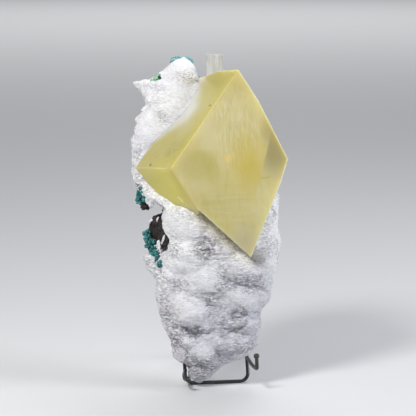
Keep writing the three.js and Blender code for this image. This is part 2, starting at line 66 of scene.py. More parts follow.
cameraSet = {
    "target": (0, -10, 98.73),  # the point in the middle of the picture
    "distance": 0.9,
    "elevation": 9,  # degrees above level
    "millimetresPerPixel": 0.55,  # at the target
    "pictureWidth": 416,  # pixels
    "sensor": 36,
}
floorSet = {"radius": 14, "rim": 96, "colour": (0.60, 0.60, 0.61), "shader": {"Roughness": 0.85}}
lightSet = {
    "worldColour": (0.84, 0.87, 0.95),
    "worldStrength": 0.20,
    # place, diameter, power and colour of each lamp
    "lamps": {
        "key": ((-0.32, -0.42, 0.60), 0.18, 4.4, (1, 0.99, 0.97)),
        "front": ((0.10, -1.25, 0.50), 0.40, 1.9, (0.96, 0.97, 1)),
        "right": ((0.95, -0.22, 0.42), 0.40, 7, (0.94, 0.96, 1)),
        "top": ((0.25, 0.45, 0.95), 0.40, 2, (0.95, 0.97, 1)),
        "back": ((0.00, 4.80, 3.60), 5.00, 170, (1, 1, 1)),
    },
}


def aimAt(item, place, target):
    # puts a camera or a lamp at a place and turns its -Z to the target
    item.location = place
    item.rotation_euler = (target - place).to_track_quat("-Z", "Y").to_euler()


def makeCamera():
    # the lens shows the picture's width at the target: sensor * distance / width
    target = Vector(placed(cameraSet["target"]))
    lift = math.radians(cameraSet["elevation"])
    place = target + cameraSet["distance"] * Vector((0, -math.cos(lift), math.sin(lift)))
    data = bpy.data.cameras.new("camera")
    data.sensor_width = cameraSet["sensor"]
    width = cameraSet["pictureWidth"] * cameraSet["millimetresPerPixel"] * mm
    data.lens = cameraSet["sensor"] * cameraSet["distance"] / width
    camera = addObject("camera", data)
    aimAt(camera, place, target)
    bpy.context.scene.camera = camera


def makeLights():
    scene = bpy.context.scene
    scene.view_settings.view_transform = "Standard"
    scene.world = bpy.data.worlds.new("softSky")
    scene.world.use_nodes = True
    sky = scene.world.node_tree.nodes["Background"]
    sky.inputs["Color"].default_value = (*lightSet["worldColour"], 1)
    sky.inputs["Strength"].default_value = lightSet["worldStrength"]
    for name, (place, size, power, colour) in lightSet["lamps"].items():
        data = bpy.data.lights.new(name, "AREA")
        data.shape = "DISK"
        data.size, data.energy, data.color = size, power, colour
        # the back lamp lights the floor straight below it
        aim = (*place[:2], 0) if name == "back" else placed(cameraSet["target"])
        aimAt(addObject(name, data), Vector(place), Vector(aim))


# Meshes from arrays

def makeObject(name, points, faces, smooth=True):
    # points: (n, 3) in metres; faces: one array of corner numbers for each corner count
    mesh = bpy.data.meshes.new(name)
    mesh.from_pydata(points, [], [face for part in faces for face in part.tolist()])
    mesh.polygons.foreach_set("use_smooth", np.full(len(mesh.polygons), smooth))
    mesh.validate()
    return addObject(name, mesh)


def closedGrids(grids):
    # grids of (rows, columns, 3) as one list of points and faces: columns close on themselves, and each
    # end row is closed by a fan round its middle
    points, quads, fans, first = [], [], [], 0
    for grid in grids:
        rows, columns = grid.shape[:2]
        index = first + np.arange(rows * columns).reshape(rows, columns)
        right = np.roll(index, -1, axis=1)
        quads.append(np.stack([index[:-1], right[:-1], right[1:], index[1:]], axis=-1).reshape(-1, 4))
        low = first + rows * columns
        for pole, start, end in ((low, right[0], index[0]), (low + 1, index[-1], right[-1])):
            fans.append(np.stack([np.full(columns, pole), start, end], axis=-1))
        points += [grid.reshape(-1, 3), grid[:1].mean(axis=1), grid[-1:].mean(axis=1)]
        first = low + 2
    return np.concatenate(points), [np.concatenate(quads), np.concatenate(fans)]


def giveLook(piece, material, node):
    # finish, body and the node that the piece stands for
    piece.data.materials.append(material)
    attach(piece, "root")
    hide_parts(node)


def makePiece(name, grids, material, slotName, node, base=specimenBase, **pointValues):
    # closed grids in mm as one piece, with values at its points that the finish reads
    points, faces = closedGrids(grids)
    piece = makeObject(name, placed(points, base), faces)
    for key, values in pointValues.items():
        values = np.asarray(values, np.float32)
        piece.data.attributes.new(key, "FLOAT", "POINT").data.foreach_set("value", values)
    giveLook(piece, material, node)
    return piece


def gridNormals(points):
    # cross product of the steps along a row and up a column
    across = np.roll(points, -1, axis=1) - np.roll(points, 1, axis=1)
    return unit(np.cross(across, np.gradient(points, axis=0)))


def ringsAlong(path, sideways, sides):
    # directions round a path, square to it: cos * side + sin * (along x side)
    along = unit(np.gradient(path, axis=0))
    side = unit(sideways - along * (along * sideways).sum(axis=-1, keepdims=True))
    angle = (2 * np.pi * np.arange(sides) / sides)[None, :, None]
    return np.cos(angle) * side[:, None] + np.sin(angle) * np.cross(along, side)[:, None]


def sphereDirections(rows, columns):
    # directions of a globe, one row for each latitude
    latitude = (np.pi * (np.arange(rows) + 0.5) / rows - np.pi / 2)[:, None]
    longitude = (2 * np.pi * np.arange(columns) / columns)[None, :]
    x, y = np.cos(latitude) * np.cos(longitude), np.cos(latitude) * np.sin(longitude)
    return np.stack([x, y, np.broadcast_to(np.sin(latitude), x.shape)], axis=-1)


def roughBalls(centres, radii, salt, rows, columns, roughness):
    # small balls whose distance from their middle varies with the place: (ball, row, column, 3)
    coarse, fine = 0.9, 0.4  # mm between dents
    directions = sphereDirections(rows, columns)[None]
    centres, radii = centres[:, None, None], radii[:, None, None, None]
    points = centres + directions * radii
    dents = smoothNoise(points, coarse, salt) + 0.5 * smoothNoise(points, fine, salt + 7)
    return centres + directions * radii * (1 + roughness * dents[..., None])


# Lumps: the same lattice of cells as in the solids, with finer ones added

def cellNumber(cells, salt):
    # a whole-number mix of a cell's x, y, z and a salt, spread from 0 to 1
    mask = 0xFFFFFFFF
    mix = ((cells * (374761393, 668265263, 1274126177)).sum(axis=-1) + salt * 974634777) & mask
    mix = ((mix ^ (mix >> 13)) * 1103515245) & mask
    mix = ((mix ^ (mix >> 15)) * 668265263) & mask
    return (mix ^ (mix >> 16)) / 4294967296


def cellLumps(points, spacing, salt):
    # 1 less the squared distance, in cells, to the nearest point of a loose lattice
    scaled = points / spacing
    cell = np.floor(scaled).astype(np.int64)
    nearest = np.inf
    for offset in np.ndindex(3, 3, 3):
        near = cell + offset - 1
        shift = np.stack([cellNumber(near, salt + axis) for axis in range(3)], axis=-1)
        nearest = np.minimum(nearest, ((near + shift - scaled) ** 2).sum(axis=-1))
    return np.maximum(0, 1 - nearest)


def smoothNoise(points, spacing, salt):
    # smoothly blended random numbers on the corners of a lattice, from -1 to 1
    scaled = points / np.array(spacing)
    cell = np.floor(scaled).astype(np.int64)
    share = smoothStep(scaled - cell, 0, 1)
    total = 0
    for corner in np.ndindex(2, 2, 2):
        weight = np.where(corner, share, 1 - share).prod(axis=-1)
        total = total + weight * cellNumber(cell + corner, salt)
    return 2 * total - 1


def wander(points, spacing, salt):
    # a smooth random shift of each point, up to 1 in each direction
    return np.stack([smoothNoise(points, spacing, salt + step) for step in range(3)], axis=-1)


def billows(points, spacing, salt, sharpness):
    # rounded folds from 0 to 1: creases run where a smooth noise changes sign
    noise = np.abs(smoothNoise(points, spacing, salt))
    return np.sin(np.minimum(1, sharpness * noise) * np.pi / 2)


def smoothStep(value, low, high):
    # 3 s^2 - 2 s^3, with s going from 0 at low to 1 at high
    share = np.clip((value - low) / (high - low), 0, 1)
    return share * share * (3 - 2 * share)


# Finishes

class Finish:
    # a material in the making: masks are sockets from 0 to 1, tints are laid one over another,
    # places and reaches are in mm on the specimen

    def __init__(self, name, look, base):
        self.material = bpy.data.materials.new(name)
        self.material.use_nodes = True
        self.tree = self.material.node_tree
        self.look, self.colour, self.relief = look, look[base], {}
        self.place = self.node("TexCoord", "Object")

    def feed(self, socket, value):
        # links an output, or sets a number, a direction or a colour with its fourth number
        if isinstance(value, bpy.types.NodeSocket):
            self.tree.links.new(value, socket)
        elif np.ndim(value) == 0:
            socket.default_value = float(value)
        else:
            socket.default_value = [*map(float, value), 1][:len(socket.default_value)]

    def node(self, kind, output, inputs=None, **settings):
        # adds a node with its settings, feeds its inputs and gives one of its outputs
        node = self.tree.nodes.new("ShaderNode" + kind)
        for key, value in settings.items():
            setattr(node, key, value)
        for key, value in (inputs or {}).items():
            self.feed(node.inputs[key], value)
        return node.outputs[output]

    def maths(self, operation, total, *values):
        # one operation carried through all the values
        for value in values:
            total = self.node("Math", "Value", {0: total, 1: value}, operation=operation)
        return total

    def both(self, *masks):
        return self.maths("MULTIPLY", *masks)

    def either(self, *masks):
        return self.maths("MAXIMUM", *masks)

    def inverse(self, mask):
        return self.maths("SUBTRACT", 1, mask)

    def vectors(self, operation, output, first, second=(0, 0, 0)):
        return self.node("VectorMath", output, {0: first, 1: second}, operation=operation)

    def pointValue(self, name):
        return self.node("Attribute", "Fac", attribute_name=name)

    def ramp(self, value, low, high, toLow=0, toHigh=1):
        # a smooth change from toLow to toHigh while the value goes from low to high
        numbers = {"From Min": low, "From Max": high, "To Min": toLow, "To Max": toHigh}
        return self.node("MapRange", "Result", {"Value": value, **numbers}, interpolation_type="SMOOTHSTEP")

    def noise(self, size, detail, rough=0.55, stretch=(1, 1, 1), bend=0):
        # smooth noise with lumps about size mm across, finer where stretch is high, curled by bend
        source = self.node("Mapping", "Vector", {"Vector": self.place, "Scale": stretch})
        numbers = {"Scale": 1 / (size * mm), "Detail": detail, "Roughness": rough, "Distortion": bend}
        return self.node("TexNoise", "Fac", {"Vector": source, **numbers})

    def blob(self, centre, radii, soft=1):
        # 1 in the middle of an oval blob and 0 outside it
        scale = 1 / (np.array(radii) * mm)
        moved = self.node("Mapping", "Vector",
                          {"Vector": self.place, "Location": -placed(centre) * scale, "Scale": scale})
        return self.ramp(self.vectors("LENGTH", "Value", moved), 1 - soft, 1, 1, 0)

    def side(self, start, end, through, towards, blur):
        # the plane holds the line start-end and the direction through: 1 on the side of towards, 0 beyond
        start, end = placed(start), placed(end)
        normal = unit(np.cross(end - start, through))
        normal = normal * np.sign((placed(towards) - start) @ normal)
        height = self.vectors("DOT_PRODUCT", "Value", self.place, normal)
        return self.ramp(height, normal @ start - blur * mm, normal @ start + blur * mm)

    def line(self, start, end, reach):
        # 1 on the line between two points and 0 further off than the reach
        start, end = placed(start), placed(end)
        along = end - start
        away = self.vectors("SUBTRACT", "Vector", self.place, start)
        share = self.vectors("DOT_PRODUCT", "Value", away, along / (along @ along))
        share = self.node("Clamp", "Result", {"Value": share})
        foot = self.node("VectorMath", "Vector", {0: along, "Scale": share}, operation="SCALE")
        rest = self.vectors("SUBTRACT", "Vector", away, foot)
        return self.ramp(self.vectors("LENGTH", "Value", rest), 0, reach * mm, 1, 0)

    def route(self, points, reach):
        # the same along a chain of lines, with one reach for all or one for each
        reaches = np.broadcast_to(reach, len(points) - 1)
        return self.either(*(self.line(*part) for part in zip(points, points[1:], reaches)))

    def tint(self, name, strength, *masks, blend="MIX"):
        # the colour goes to a named one of the look by the product of the masks, strength at most
        inputs = {0: self.both(*masks, strength), 6: self.colour, 7: self.look[name]}
        self.colour = self.node("Mix", 2, inputs, data_type="RGBA", blend_type=blend)

    def bump(self, height, distance, strength):
        # relief laid over the relief so far; distance in mm
        inputs = {"Height": height, "Distance": distance * mm, "Strength": strength, **self.relief}
        self.relief = {"Normal": self.node("Bump", "Normal", inputs)}

    def finished(self):
        # the material, once the shader has the colour, the relief and the look's own values
        shader = self.tree.nodes["Principled BSDF"]
        for name, value in {"Base Color": self.colour, **self.relief, **self.look["shader"]}.items():
            self.feed(shader.inputs[name], value)
        return self.material


# Mordenite

mordenite = {
    # outlines seen from the front as (height, x), front and back surfaces as (height, y), all in mm
    "left": [
        (3.6, -5.5), (4.2, -7.4), (6, -9.2), (10, -10.6), (14.6, -11.2), (15.2, -13), (16, -15),
        (18.6, -17), (20.8, -19), (26, -20.2), (31.5, -22.9), (34.2, -24.2), (41, -26.4),
        (49.8, -28), (54.2, -28.5), (58.4, -27.6), (60.6, -28.6), (62, -30.6), (66.4, -33.8),
        (69, -34.7), (73.2, -35.3), (74.6, -32.2), (76.2, -26.4), (77.2, -21.6), (85.4, -24),
        (94.7, -25.2), (101.8, -24.6), (103.4, -31), (105, -35.4), (107.3, -39.9), (113.9, -42.1),
        (123.8, -41.4), (134.2, -42.9), (137, -41), (140.9, -38.4), (145.4, -39.3), (149.8, -37.2),
        (152, -34.6), (154.3, -32.4), (156.5, -33.8), (158.7, -35.4), (161, -37), (163.3, -37.5),
        (166.8, -39.2), (167.6, -37.7), (168, -31), (172.6, -24.9), (174.8, -22.2), (178.7, -19.4),
        (180, -15.5),
    ],
    "right": [
        (3.6, -4.5), (4.4, -2.2), (6, -0.2), (8.5, 2.8), (11.9, 6.4), (14.1, 9.2), (15.6, 13.6),
        (17.4, 18.6), (20.2, 23.8), (23.4, 26.5), (31.5, 27), (36, 27.8), (41.4, 29), (50.7, 34.2),
        (59, 35.2), (67.8, 39), (79.9, 40), (89.8, 37.8), (97.6, 38.3), (104.6, 39.2), (110.6, 34.4),
        (118.3, 28.9), (137, 20), (154.5, 11.1), (160, 7.8), (165.5, -1.1), (167.7, -4.7),
        (174.3, -6.9), (177, -9.2), (180, -12.5),
    ],
    "front": [
        (3.6, -24), (5.5, -27), (9, -30), (15, -32), (25, -34.5), (40, -36), (60, -36), (80, -37),
        (94, -39), (100, -38.5), (105, -30), (110, -20.5), (116, -11), (155, -10), (165, -7),
        (174, -3), (178, 0.5), (180, 4),
    ],
    "back": [
        (3.6, -21), (5.5, -19.6), (9, -18.5), (15, -17.3), (25, -12.8), (40, -6.3), (60, 2),
        (75, 8.5), (85, 13), (92, 16), (100, 19.5), (110, 21.5), (150, 22), (165, 19), (174, 15),
        (178, 11.5), (180, 8),
    ],
    "bottom": 3.6, "height": 176.4,
    "smoothing": 1.1,  # mm up and down over which the outlines are averaged
    "backSmoothing": 5,  # the same round the back
    "softFrom": 0.05, "softTo": 0.45,  # where the softer outline begins and rules, in half depths
    "ledgeReach": (0.1, 11),  # mm up and down over which the ledges average out: at the ends, elsewhere
    "outlineLevels": (-20, 220, 9601),  # lowest and highest height summed up, and their number
    "notchRounding": 2.5, "ledgePower": 4, "squareness": 0.86, "inset": 1.4, "lumpRoundness": 1.25,
    "lumpBlend": 5,
    # lumps on the front: x, z, half width, half height, height
    "frontLumps": [
        (-13.5, 92.5, 14, 12, 3.8), (-12.3, 77.6, 14, 12, 4), (-1.1, 61.5, 12, 12, 3.2),
        (-10.2, 46.1, 11, 10, 5.5), (17.8, 51, 10.5, 9, 3.4), (20.6, 38.3, 11, 6.5, 3.2),
        (19.9, 69, 11.5, 10, 3.2), (-2.7, 22.1, 10, 8.5, 4.2), (-10.2, 28.5, 6.5, 6, 3),
        (-14.7, 20.5, 6, 5.6, 3), (-22.6, 52.7, 6, 17, 3), (30, 80.1, 10, 17, 2.5),
        (31, 59.3, 6.5, 6, 2.5), (13.5, 27.8, 13, 6.5, 3), (-4.4, 10.9, 7.5, 6, 2),
        (-26.1, 159.9, 11, 9.5, 2.6), (-14.1, 173, 9.5, 8.5, 3), (-31.7, 141.8, 11, 11, 3),
        (-34.8, 117.1, 7.5, 12, 2.5), (-19.5, 152, 13, 16, 3), (33.4, 96, 7, 14, 2),
    ],
    "frontHollow": (-23.4, 81.4, 3.8, 6.4, 5),
    # lumps all over: spacing, height, salt
    "largeLumps": (21, 4.5, 5),
    "smallLumps": (9, 1.8, 11),
    # finer folds, not in the solids: spacing along x, y and z, height, salt
    "folds": [((4.4, 3.4, 2.2), 0.36, 23), ((2.4, 2.1, 1.3), 0.34, 37), ((1.4, 1.3, 0.8), 0.26, 53)],
    "foldSharpness": 2,
    "lumpWander": (7, 1.2, 61),  # spacing, size and salt of the wandering of the lumps
    "foldWander": (2.6, 1.1, 71),
    # strength of the folds: mean, swing, spacing and salt of its patches
    "strength": (0.62, 0.38, 9, 83),
    "strengthLimits": (0.12, 1.4),
    "foldMiddle": 0.75, "foldShade": 0.3, "shadePower": 1.5,
    "grainBase": 0.3, "grainShade": 0.5, "grainFrom": 0.1,
    # where a surface begins to face a way and where it fully does
    "facing": (0.1, 0.6), "frontFacing": (0, 0.5),
    # places with stronger or fainter folds: x, z, half width, half height, change
    "spots": [
        (-1, 82, 10, 8, 0.9), (22, 61, 11, 7.5, 0.6), (-7.4, 34.7, 9, 5, 0.9), (-17.6, 26.7, 6, 8, 0.4),
        (-2.7, 12.5, 10, 8, 0.7), (17.6, 25.6, 9, 5, 0.5), (1.6, 52.6, 5, 6, 0.9),
        (-23.4, 48, 4, 12, 0.8), (31.4, 88, 7, 14, 0.05), (11, 40, 9, 5, 0.3), (-8, 100, 9, 5, 0.2),
        (-24, 149, 5, 6, 0.5), (-38, 128, 4, 6, 0.5), (-28.6, 165, 8, 3, 0.3), (-38.3, 110.2, 3.5, 2.5, 0.9),
        (-16, 95, 11, 8, -0.3), (-11.7, 83, 6, 5, -0.3), (-0.5, 65.5, 6, 9, -0.5),
        (-10.6, 46, 5.5, 6, -0.6), (16, 55, 5, 5, -0.3), (-2.7, 24, 6, 5, -0.2),
        (-22, 155, 26, 46, -0.45), (-17, 70, 8, 8, -0.6), (9, 61, 4, 4, 0.5), (-15, 60, 8, 5, 0.3),
        (8, 22, 8, 6, 0.4), (-19, 33, 6, 9, 0.5), (18, 45, 9, 3, 0.5), (4, 45, 8, 8, 0.5),
    ],
    # matted surface: spacing, height, salt
    "rough": [((1.9, 1.5, 0.85), 0.22, 97), ((1.1, 0.9, 0.6), 0.16, 101)],
    # hollows along lines: start and end in x and z, half width, depth; the first runs below the crystal
    "moats": [
        ((0, 98.3), (24, 75.5), 6, 4.5),
        ((-17.5, 43), (-13.5, 36), 3, 1.6), ((-13.5, 36), (-7, 33), 3.4, 2.2),
        ((-7, 33), (2.8, 35.5), 3.2, 1.8), ((-15, 33.5), (-5, 28.5), 1.8, 0.8),
        ((8, 31), (27, 43), 2.4, 1.6), ((-24, 59), (-18, 45), 2, 0.9),
        ((-18, 36), (-11.5, 22), 2.4, 1.3), ((-9.7, 20), (-1.6, 15), 2.2, 0.8),
        ((13, 63.5), (22.8, 58), 2.4, 1), ((25.5, 59), (32.5, 55), 2.2, 1),
        ((-15, 74.5), (-8, 73), 2.2, 0.4), ((4, 60), (7.5, 47), 3, 0.9),
        ((-40.5, 110.8), (-36.5, 109.6), 1.6, 2.2),
    ],
    "rows": 300, "columns": 326, "frontCrowding": 0.42, "rowSamples": 4000, "stepWeight": 0.3,
    "bite": 0.8,  # how far the mordenite reaches into the crystal
    "leastBackward": 0.02,  # a plane that faces back by less than this is no way out of the crystal
    # two shells that meet inside each other: lowest, highest, where each starts to sink, where it ends
    "shells": {"mordeniteLower": (3.6, 99.6, 95.6, 99.6), "mordeniteUpper": (92.4, 180, 96.4, 92.4)},
    "sink": 1.6,
    # the fringe, small white pieces in the notch: strips hanging from the ledge, and slivers and strips
    # on the basalt, each as the points of its middle line and its radius
    "fringe": [
        ([(-31.4, -14, 108), (-33.2, -12.4, 104.4), (-33.2, -11, 101)], 2),
        ([(-29.2, -15.4, 107.4), (-31, -13.6, 103.4), (-31.4, -12.6, 98.8)], 2.5),
        ([(-27, -17, 107.2), (-28.6, -15.2, 104), (-27.8, -14.6, 101.6)], 2.3),
        ([(-24.4, -19, 107), (-25.6, -17, 103.4), (-24.6, -15.4, 98.4)], 2),
        ([(-34.5, -12, 108.5), (-35.4, -10.6, 106.6), (-34.6, -10, 104.4)], 1.6),
        ([(-23.4, -24.4, 86.4), (-24.1, -24, 84.6), (-24.9, -23.6, 82.4), (-25.2, -23, 80.6)], 0.7),
        ([(-26.9, -20.8, 82.8), (-26.6, -21.8, 80), (-26, -23, 76.4)], 0.9),
        ([(-30.6, -12.4, 92.8), (-31.6, -11.8, 91.7), (-32.4, -11.2, 89.9)], 0.75),
        ([(-26.9, -14.4, 94.6), (-27.9, -16, 93.2), (-27.8, -16.6, 92)], 0.4),
    ],
    "fringeSteps": 26, "fringeSides": 20, "fringeTaper": (1.15, 0.65), "fringeSalt": 200,
    "fringeDents": [(1.5, 0.5), (0.7, 0.3)],  # spacing and share of the radius
    "white": (0.93, 0.93, 0.94), "crease": (0.20, 0.19, 0.22), "paintedLowShade": (0.55, 0.55, 0.61),
    "lilac": (0.74, 0.73, 0.82), "straw": (0.86, 0.82, 0.68), "speck": (0.33, 0.27, 0.16),
    "ice": (0.50, 0.70, 0.78),
    "shader": {"Roughness": 0.95, "Sheen Weight": 0.15, "Subsurface Weight": 0.05,
               "Subsurface Scale": 0.8 * mm},
}


def outlineAt(name, z):
    # straight lines between the points of an outline
    heights, places = np.array(mordenite[name], float).T
    return np.interp(z, heights, places)


def smoothOutline(name, z):
    # the outline read at three neighbouring heights and averaged
    reach = mordenite["smoothing"]
    return (outlineAt(name, z - reach) + 2 * outlineAt(name, z) + outlineAt(name, z + reach)) / 4


def meanOutline(name, z, reach):
    # the outline's mean over all heights up to the reach away: the difference of two running totals
    levels = np.linspace(*mordenite["outlineLevels"])
    total = np.cumsum(outlineAt(name, levels)) * (levels[1] - levels[0])
    return (np.interp(z + reach, levels, total) - np.interp(z - reach, levels, total)) / (2 * reach)


def outlineRound(name, z, along):
    # sharp at the edge and on the front, softer round the back: the two mixed by how far back it is
    sharp, soft = smoothOutline(name, z), meanOutline(name, z, mordenite["backSmoothing"])
    return sharp + (soft - sharp) * smoothStep(along, mordenite["softFrom"], mordenite["softTo"])


def broadOutline(name, z):
    # the outline without its ledges: its mean over a reach that shrinks towards both ends
    toEnd = np.minimum(z - mordenite["bottom"], mordenite["bottom"] + mordenite["height"] - z)
    return meanOutline(name, z, np.clip(toEnd, *mordenite["ledgeReach"]))


def withLedges(x, broad, detailed, edgeShare):
    # where the outline steps out it bulges near the edge, where it steps in it cuts the edge off
    step = detailed - broad
    rounding = np.minimum(mordenite["notchRounding"], -step)
    bulged = x + step * np.maximum(0, edgeShare) ** mordenite["ledgePower"]
    cut = (x + detailed - np.hypot(x - detailed, rounding)) / 2
    return np.where(step > 0, bulged, cut)


def mordeniteForm(z, angle):
    # at height z, angle goes round a squarish ring: middle + half size * sign(c) * |c| ** squareness
    left, right = broadOutline("left", z), broadOutline("right", z)
    front, back = smoothOutline("front", z), smoothOutline("back", z)
    across, along = (np.sign(turn) * np.abs(turn) ** mordenite["squareness"]
                     for turn in (np.cos(angle), np.sin(angle)))
    bareX = (left + right) / 2 + (right - left) / 2 * across
    rightX = withLedges(bareX, right, outlineRound("right", z, along), across)
    leftX = -withLedges(-bareX, -left, -outlineRound("left", z, along), -across)
    x = np.where(across > 0, rightX, leftX)
    y = (front + back) / 2 + (back - front) / 2 * along
    return np.stack([x, y, np.broadcast_to(z, x.shape)], axis=-1)


def ovalReach(points, x, z, halfWidth, halfHeight):
    # squared distance in x and z from an oval's middle: 1 on its rim
    return ((points[..., 0] - x) / halfWidth) ** 2 + ((points[..., 2] - z) / halfHeight) ** 2


def domeAt(points, *oval, height):
    # an oval dome: height * (1 - squared reach) ** roundness
    return height * np.maximum(0, 1 - ovalReach(points, *oval)) ** mordenite["lumpRoundness"]


def nearSegment(points, start, end):
    # distance in x and z from each point to the line between two (x, z) places
    start, end = np.array(start, float), np.array(end, float)
    flat = points[..., [0, 2]] - start
    share = np.clip(flat @ (end - start) / ((end - start) @ (end - start)), 0, 1)
    return np.linalg.norm(flat - share[..., None] * (end - start), axis=-1)


def wandered(points, key):
    # the points moved by size * a smooth random shift
    spacing, size, salt = mordenite[key]
    return points + size * wander(points, spacing, salt)


def lumpHeights(points, normals):
    # how far the lumps of the solids push the form out: those on the front, less its hollows, where it
    # faces forwards, + large ones where it faces back, + small ones all over, - the inset
    frontness = smoothStep(-normals[..., 1], *mordenite["frontFacing"])
    upright = 1 - smoothStep(np.abs(normals[..., 2]), *mordenite["facing"])
    backness = upright * smoothStep(normals[..., 1], *mordenite["facing"])
    moved = wandered(points, "lumpWander")
    # where domes meet the higher one wins, but smoothly: the sum of powers, and its root
    power = mordenite["lumpBlend"]
    domes = (domeAt(moved, *oval, height=height) for *oval, height in mordenite["frontLumps"])
    raised = sum(dome ** power for dome in domes) ** (1 / power)
    *oval, depth = mordenite["frontHollow"]
    raised = raised - domeAt(points, *oval, height=depth)
    for start, end, halfWidth, depth in mordenite["moats"]:
        raised = raised - depth * (1 - smoothStep(nearSegment(moved, start, end), 0, halfWidth))
    spacing, height, salt = mordenite["largeLumps"]
    large = backness * height * cellLumps(points, spacing, salt)
    spacing, height, salt = mordenite["smallLumps"]
    small = height * cellLumps(moved, spacing, salt)
    return frontness * raised + large + small - mordenite["inset"]


def foldLayers(points):
    # ever finer layers of drawn-out folds, stronger and fainter in patches: height, shade and strength
    form, folded = mordenite, wandered(points, "foldWander")
    mean, swing, spacing, salt = form["strength"]
    strength = mean + swing * smoothNoise(points, spacing, salt)
    for *oval, change in form["spots"]:
        strength = strength + change * np.maximum(0, 1 - ovalReach(points, *oval))
    strength = np.clip(strength, *form["strengthLimits"])
    heights, shade, base = 0, 0, form["grainBase"]
    for spacing, height, salt in form["folds"]:
        fold = billows(folded, spacing, salt, form["foldSharpness"])
        heights = heights + height * strength * (fold - form["foldMiddle"])
        shade = shade + form["foldShade"] * strength * (1 - fold) ** form["shadePower"]
    for spacing, height, salt in form["rough"]:
        grain = smoothNoise(folded, spacing, salt)
        heights = heights + height * (base + (1 - base) * strength) * grain
        shade = shade + form["grainShade"] * strength * np.maximum(0, -grain - form["grainFrom"])
    return heights, shade, strength


def outOfCrystal(points):
    # points deeper in the crystal than the bite go straight back until they are that deep again;
    # both hulls are passed twice, because the way out of one may end in the other
    for normals, levels in 2 * calciteHulls():
        inside = levels - points @ normals.T - mordenite["bite"]
        facing = np.maximum(normals[:, 1], 1e-9)
        backward = normals[:, 1] > mordenite["leastBackward"]
        wayOut = np.where(backward, inside / facing, np.inf).min(axis=-1)
        points = points + np.where(inside.min(axis=-1) > 0, wayOut, 0)[..., None] * (0, 1, 0)
    return points


def evenRows(low, high, rows):
    # heights that stand evenly along the outlines rather than evenly in height
    z = np.linspace(low, high, mordenite["rowSamples"])
    steps = [np.gradient(smoothOutline(name, z)) for name in ("left", "right", "front", "back")]
    pace = np.sqrt(np.gradient(z) ** 2 + sum(mordenite["stepWeight"] * step ** 2 for step in steps))
    travelled = np.concatenate([[0], np.cumsum(pace)[:-1]])
    return np.interp(np.linspace(0, travelled[-1], rows), travelled, z)


def roughTube(middle, radius, salt):
    # rings along a bent middle line, closing towards both ends, with their radius varied by noise
    share = np.linspace(0, 1, mordenite["fringeSteps"])
    known = np.linspace(0, 1, len(middle))
    path = np.stack([np.interp(share, known, places) for places in np.array(middle, float).T], axis=-1)
    sideways = np.cross(np.gradient(path, axis=0), (0, 1, 0))
    ring = ringsAlong(path, sideways, mordenite["fringeSides"])
    thick, taper = mordenite["fringeTaper"]
    closing = np.sqrt(np.maximum(1 - np.abs(2 * share - 1) ** 3, 0.01))
    width = (radius * closing * (thick - taper * share))[:, None, None]
    points = path[:, None] + ring * width
    dents = sum(size * smoothNoise(points, spacing, salt + layer)
                for layer, (spacing, size) in enumerate(mordenite["fringeDents"]))
    return points + ring * width * dents[..., None]


def makeMordenite():
    # each shell: the form + (lumps - sink) * its normals + folds * the lumpy form's normals
    material = mordeniteFinish()
    turn = 2 * np.pi * np.arange(mordenite["columns"]) / mordenite["columns"]
    # the columns crowd towards the front
    angle = (turn - np.pi / 2 - mordenite["frontCrowding"] * np.sin(turn))[None, :]
    for name, (low, high, sinkFrom, sinkTo) in mordenite["shells"].items():
        z = evenRows(low, high, mordenite["rows"])[:, None]
        form = mordeniteForm(z, angle)
        sunk = mordenite["sink"] * smoothStep((z - sinkFrom) / (sinkTo - sinkFrom), 0, 1)
        normals = gridNormals(form)
        lumpy = form + (lumpHeights(form, normals) - sunk)[..., None] * normals
        folds, shade, strength = foldLayers(lumpy)
        surface = outOfCrystal(lumpy + folds[..., None] * gridNormals(lumpy))
        # the two closing points have neither shade nor strength
        makePiece(name, [surface], material, "mordenite", "mordenite_matrix",
                  crease=np.append(shade, [0, 0]), matting=np.append(strength, [0, 0]))
    tubes = [roughTube(*strip, mordenite["fringeSalt"] + number)
             for number, strip in enumerate(mordenite["fringe"])]
    makePiece("mordeniteFringe", tubes, material, "mordenite", "mordenite_matrix")


def mordeniteFinish():
    finish = Finish("mordenite", mordenite, "white")
    tint, line, blob, ramp, noise = finish.tint, finish.line, finish.blob, finish.ramp, finish.noise
    # painted shade: bluish and duller low down, where less light falls, with lilac patches
    tint("paintedLowShade", 0.8, line((4, -30, 5), (18, -34, 40), 62))
    tint("lilac", 0.3, ramp(noise(22, 2), 0.45, 0.7))
    # painted shade: hollows are darker, and fine dark gaps between the matted threads stand for their small
    # shadows, most where the folds are strong
    tint("crease", 0.5, ramp(finish.pointValue("crease"), 0.1, 0.75))
    matting = finish.pointValue("matting")
    threads = noise(0.8, 4, 0.7, (0.36, 0.42, 1.25), 0.5)
    tint("crease", 0.6, ramp(threads, 0.54, 0.42), ramp(matting, 0.1, 1.1, 0.3, 1))
    tint("crease", 0.85, ramp(threads, 0.50, 0.38), ramp(matting, 0.75, 1.3))
    # painted shade and the crystal's yellow bounce light: a straw tint and brownish strokes in the shadowed
    # band below the crystal; brownish specks near the crest and on the left
    paintedShadeBand = line((-5.5, -38, 100.5), (22, -34, 75.5), 8)
    tint("straw", 0.5, paintedShadeBand)
    tint("speck", 0.4, ramp(threads, 0.54, 0.44), paintedShadeBand)
    specks = ramp(noise(1, 3, 0.7, (0.6, 0.8, 1.2), 0.5), 0.47, 0.57)
    crestPatch = blob((-12, -5, 170.5), (9, 16, 5.5))
    leftPatch = finish.both(blob((-26, -9, 150), (6.5, 12, 4.5)), 0.6)
    tint("speck", 1, specks, finish.either(crestPatch, leftPatch))
    tint("ice", 0.6, line((-7.1, -1, 174), (-5, 7.7, 168), 2))
    finish.bump(threads, 0.9, 0.9)
    finish.bump(noise(0.5, 3, 0.65, (0.7, 1, 1.4)), 0.35, 0.8)
    return finish.finished()


# Calcite

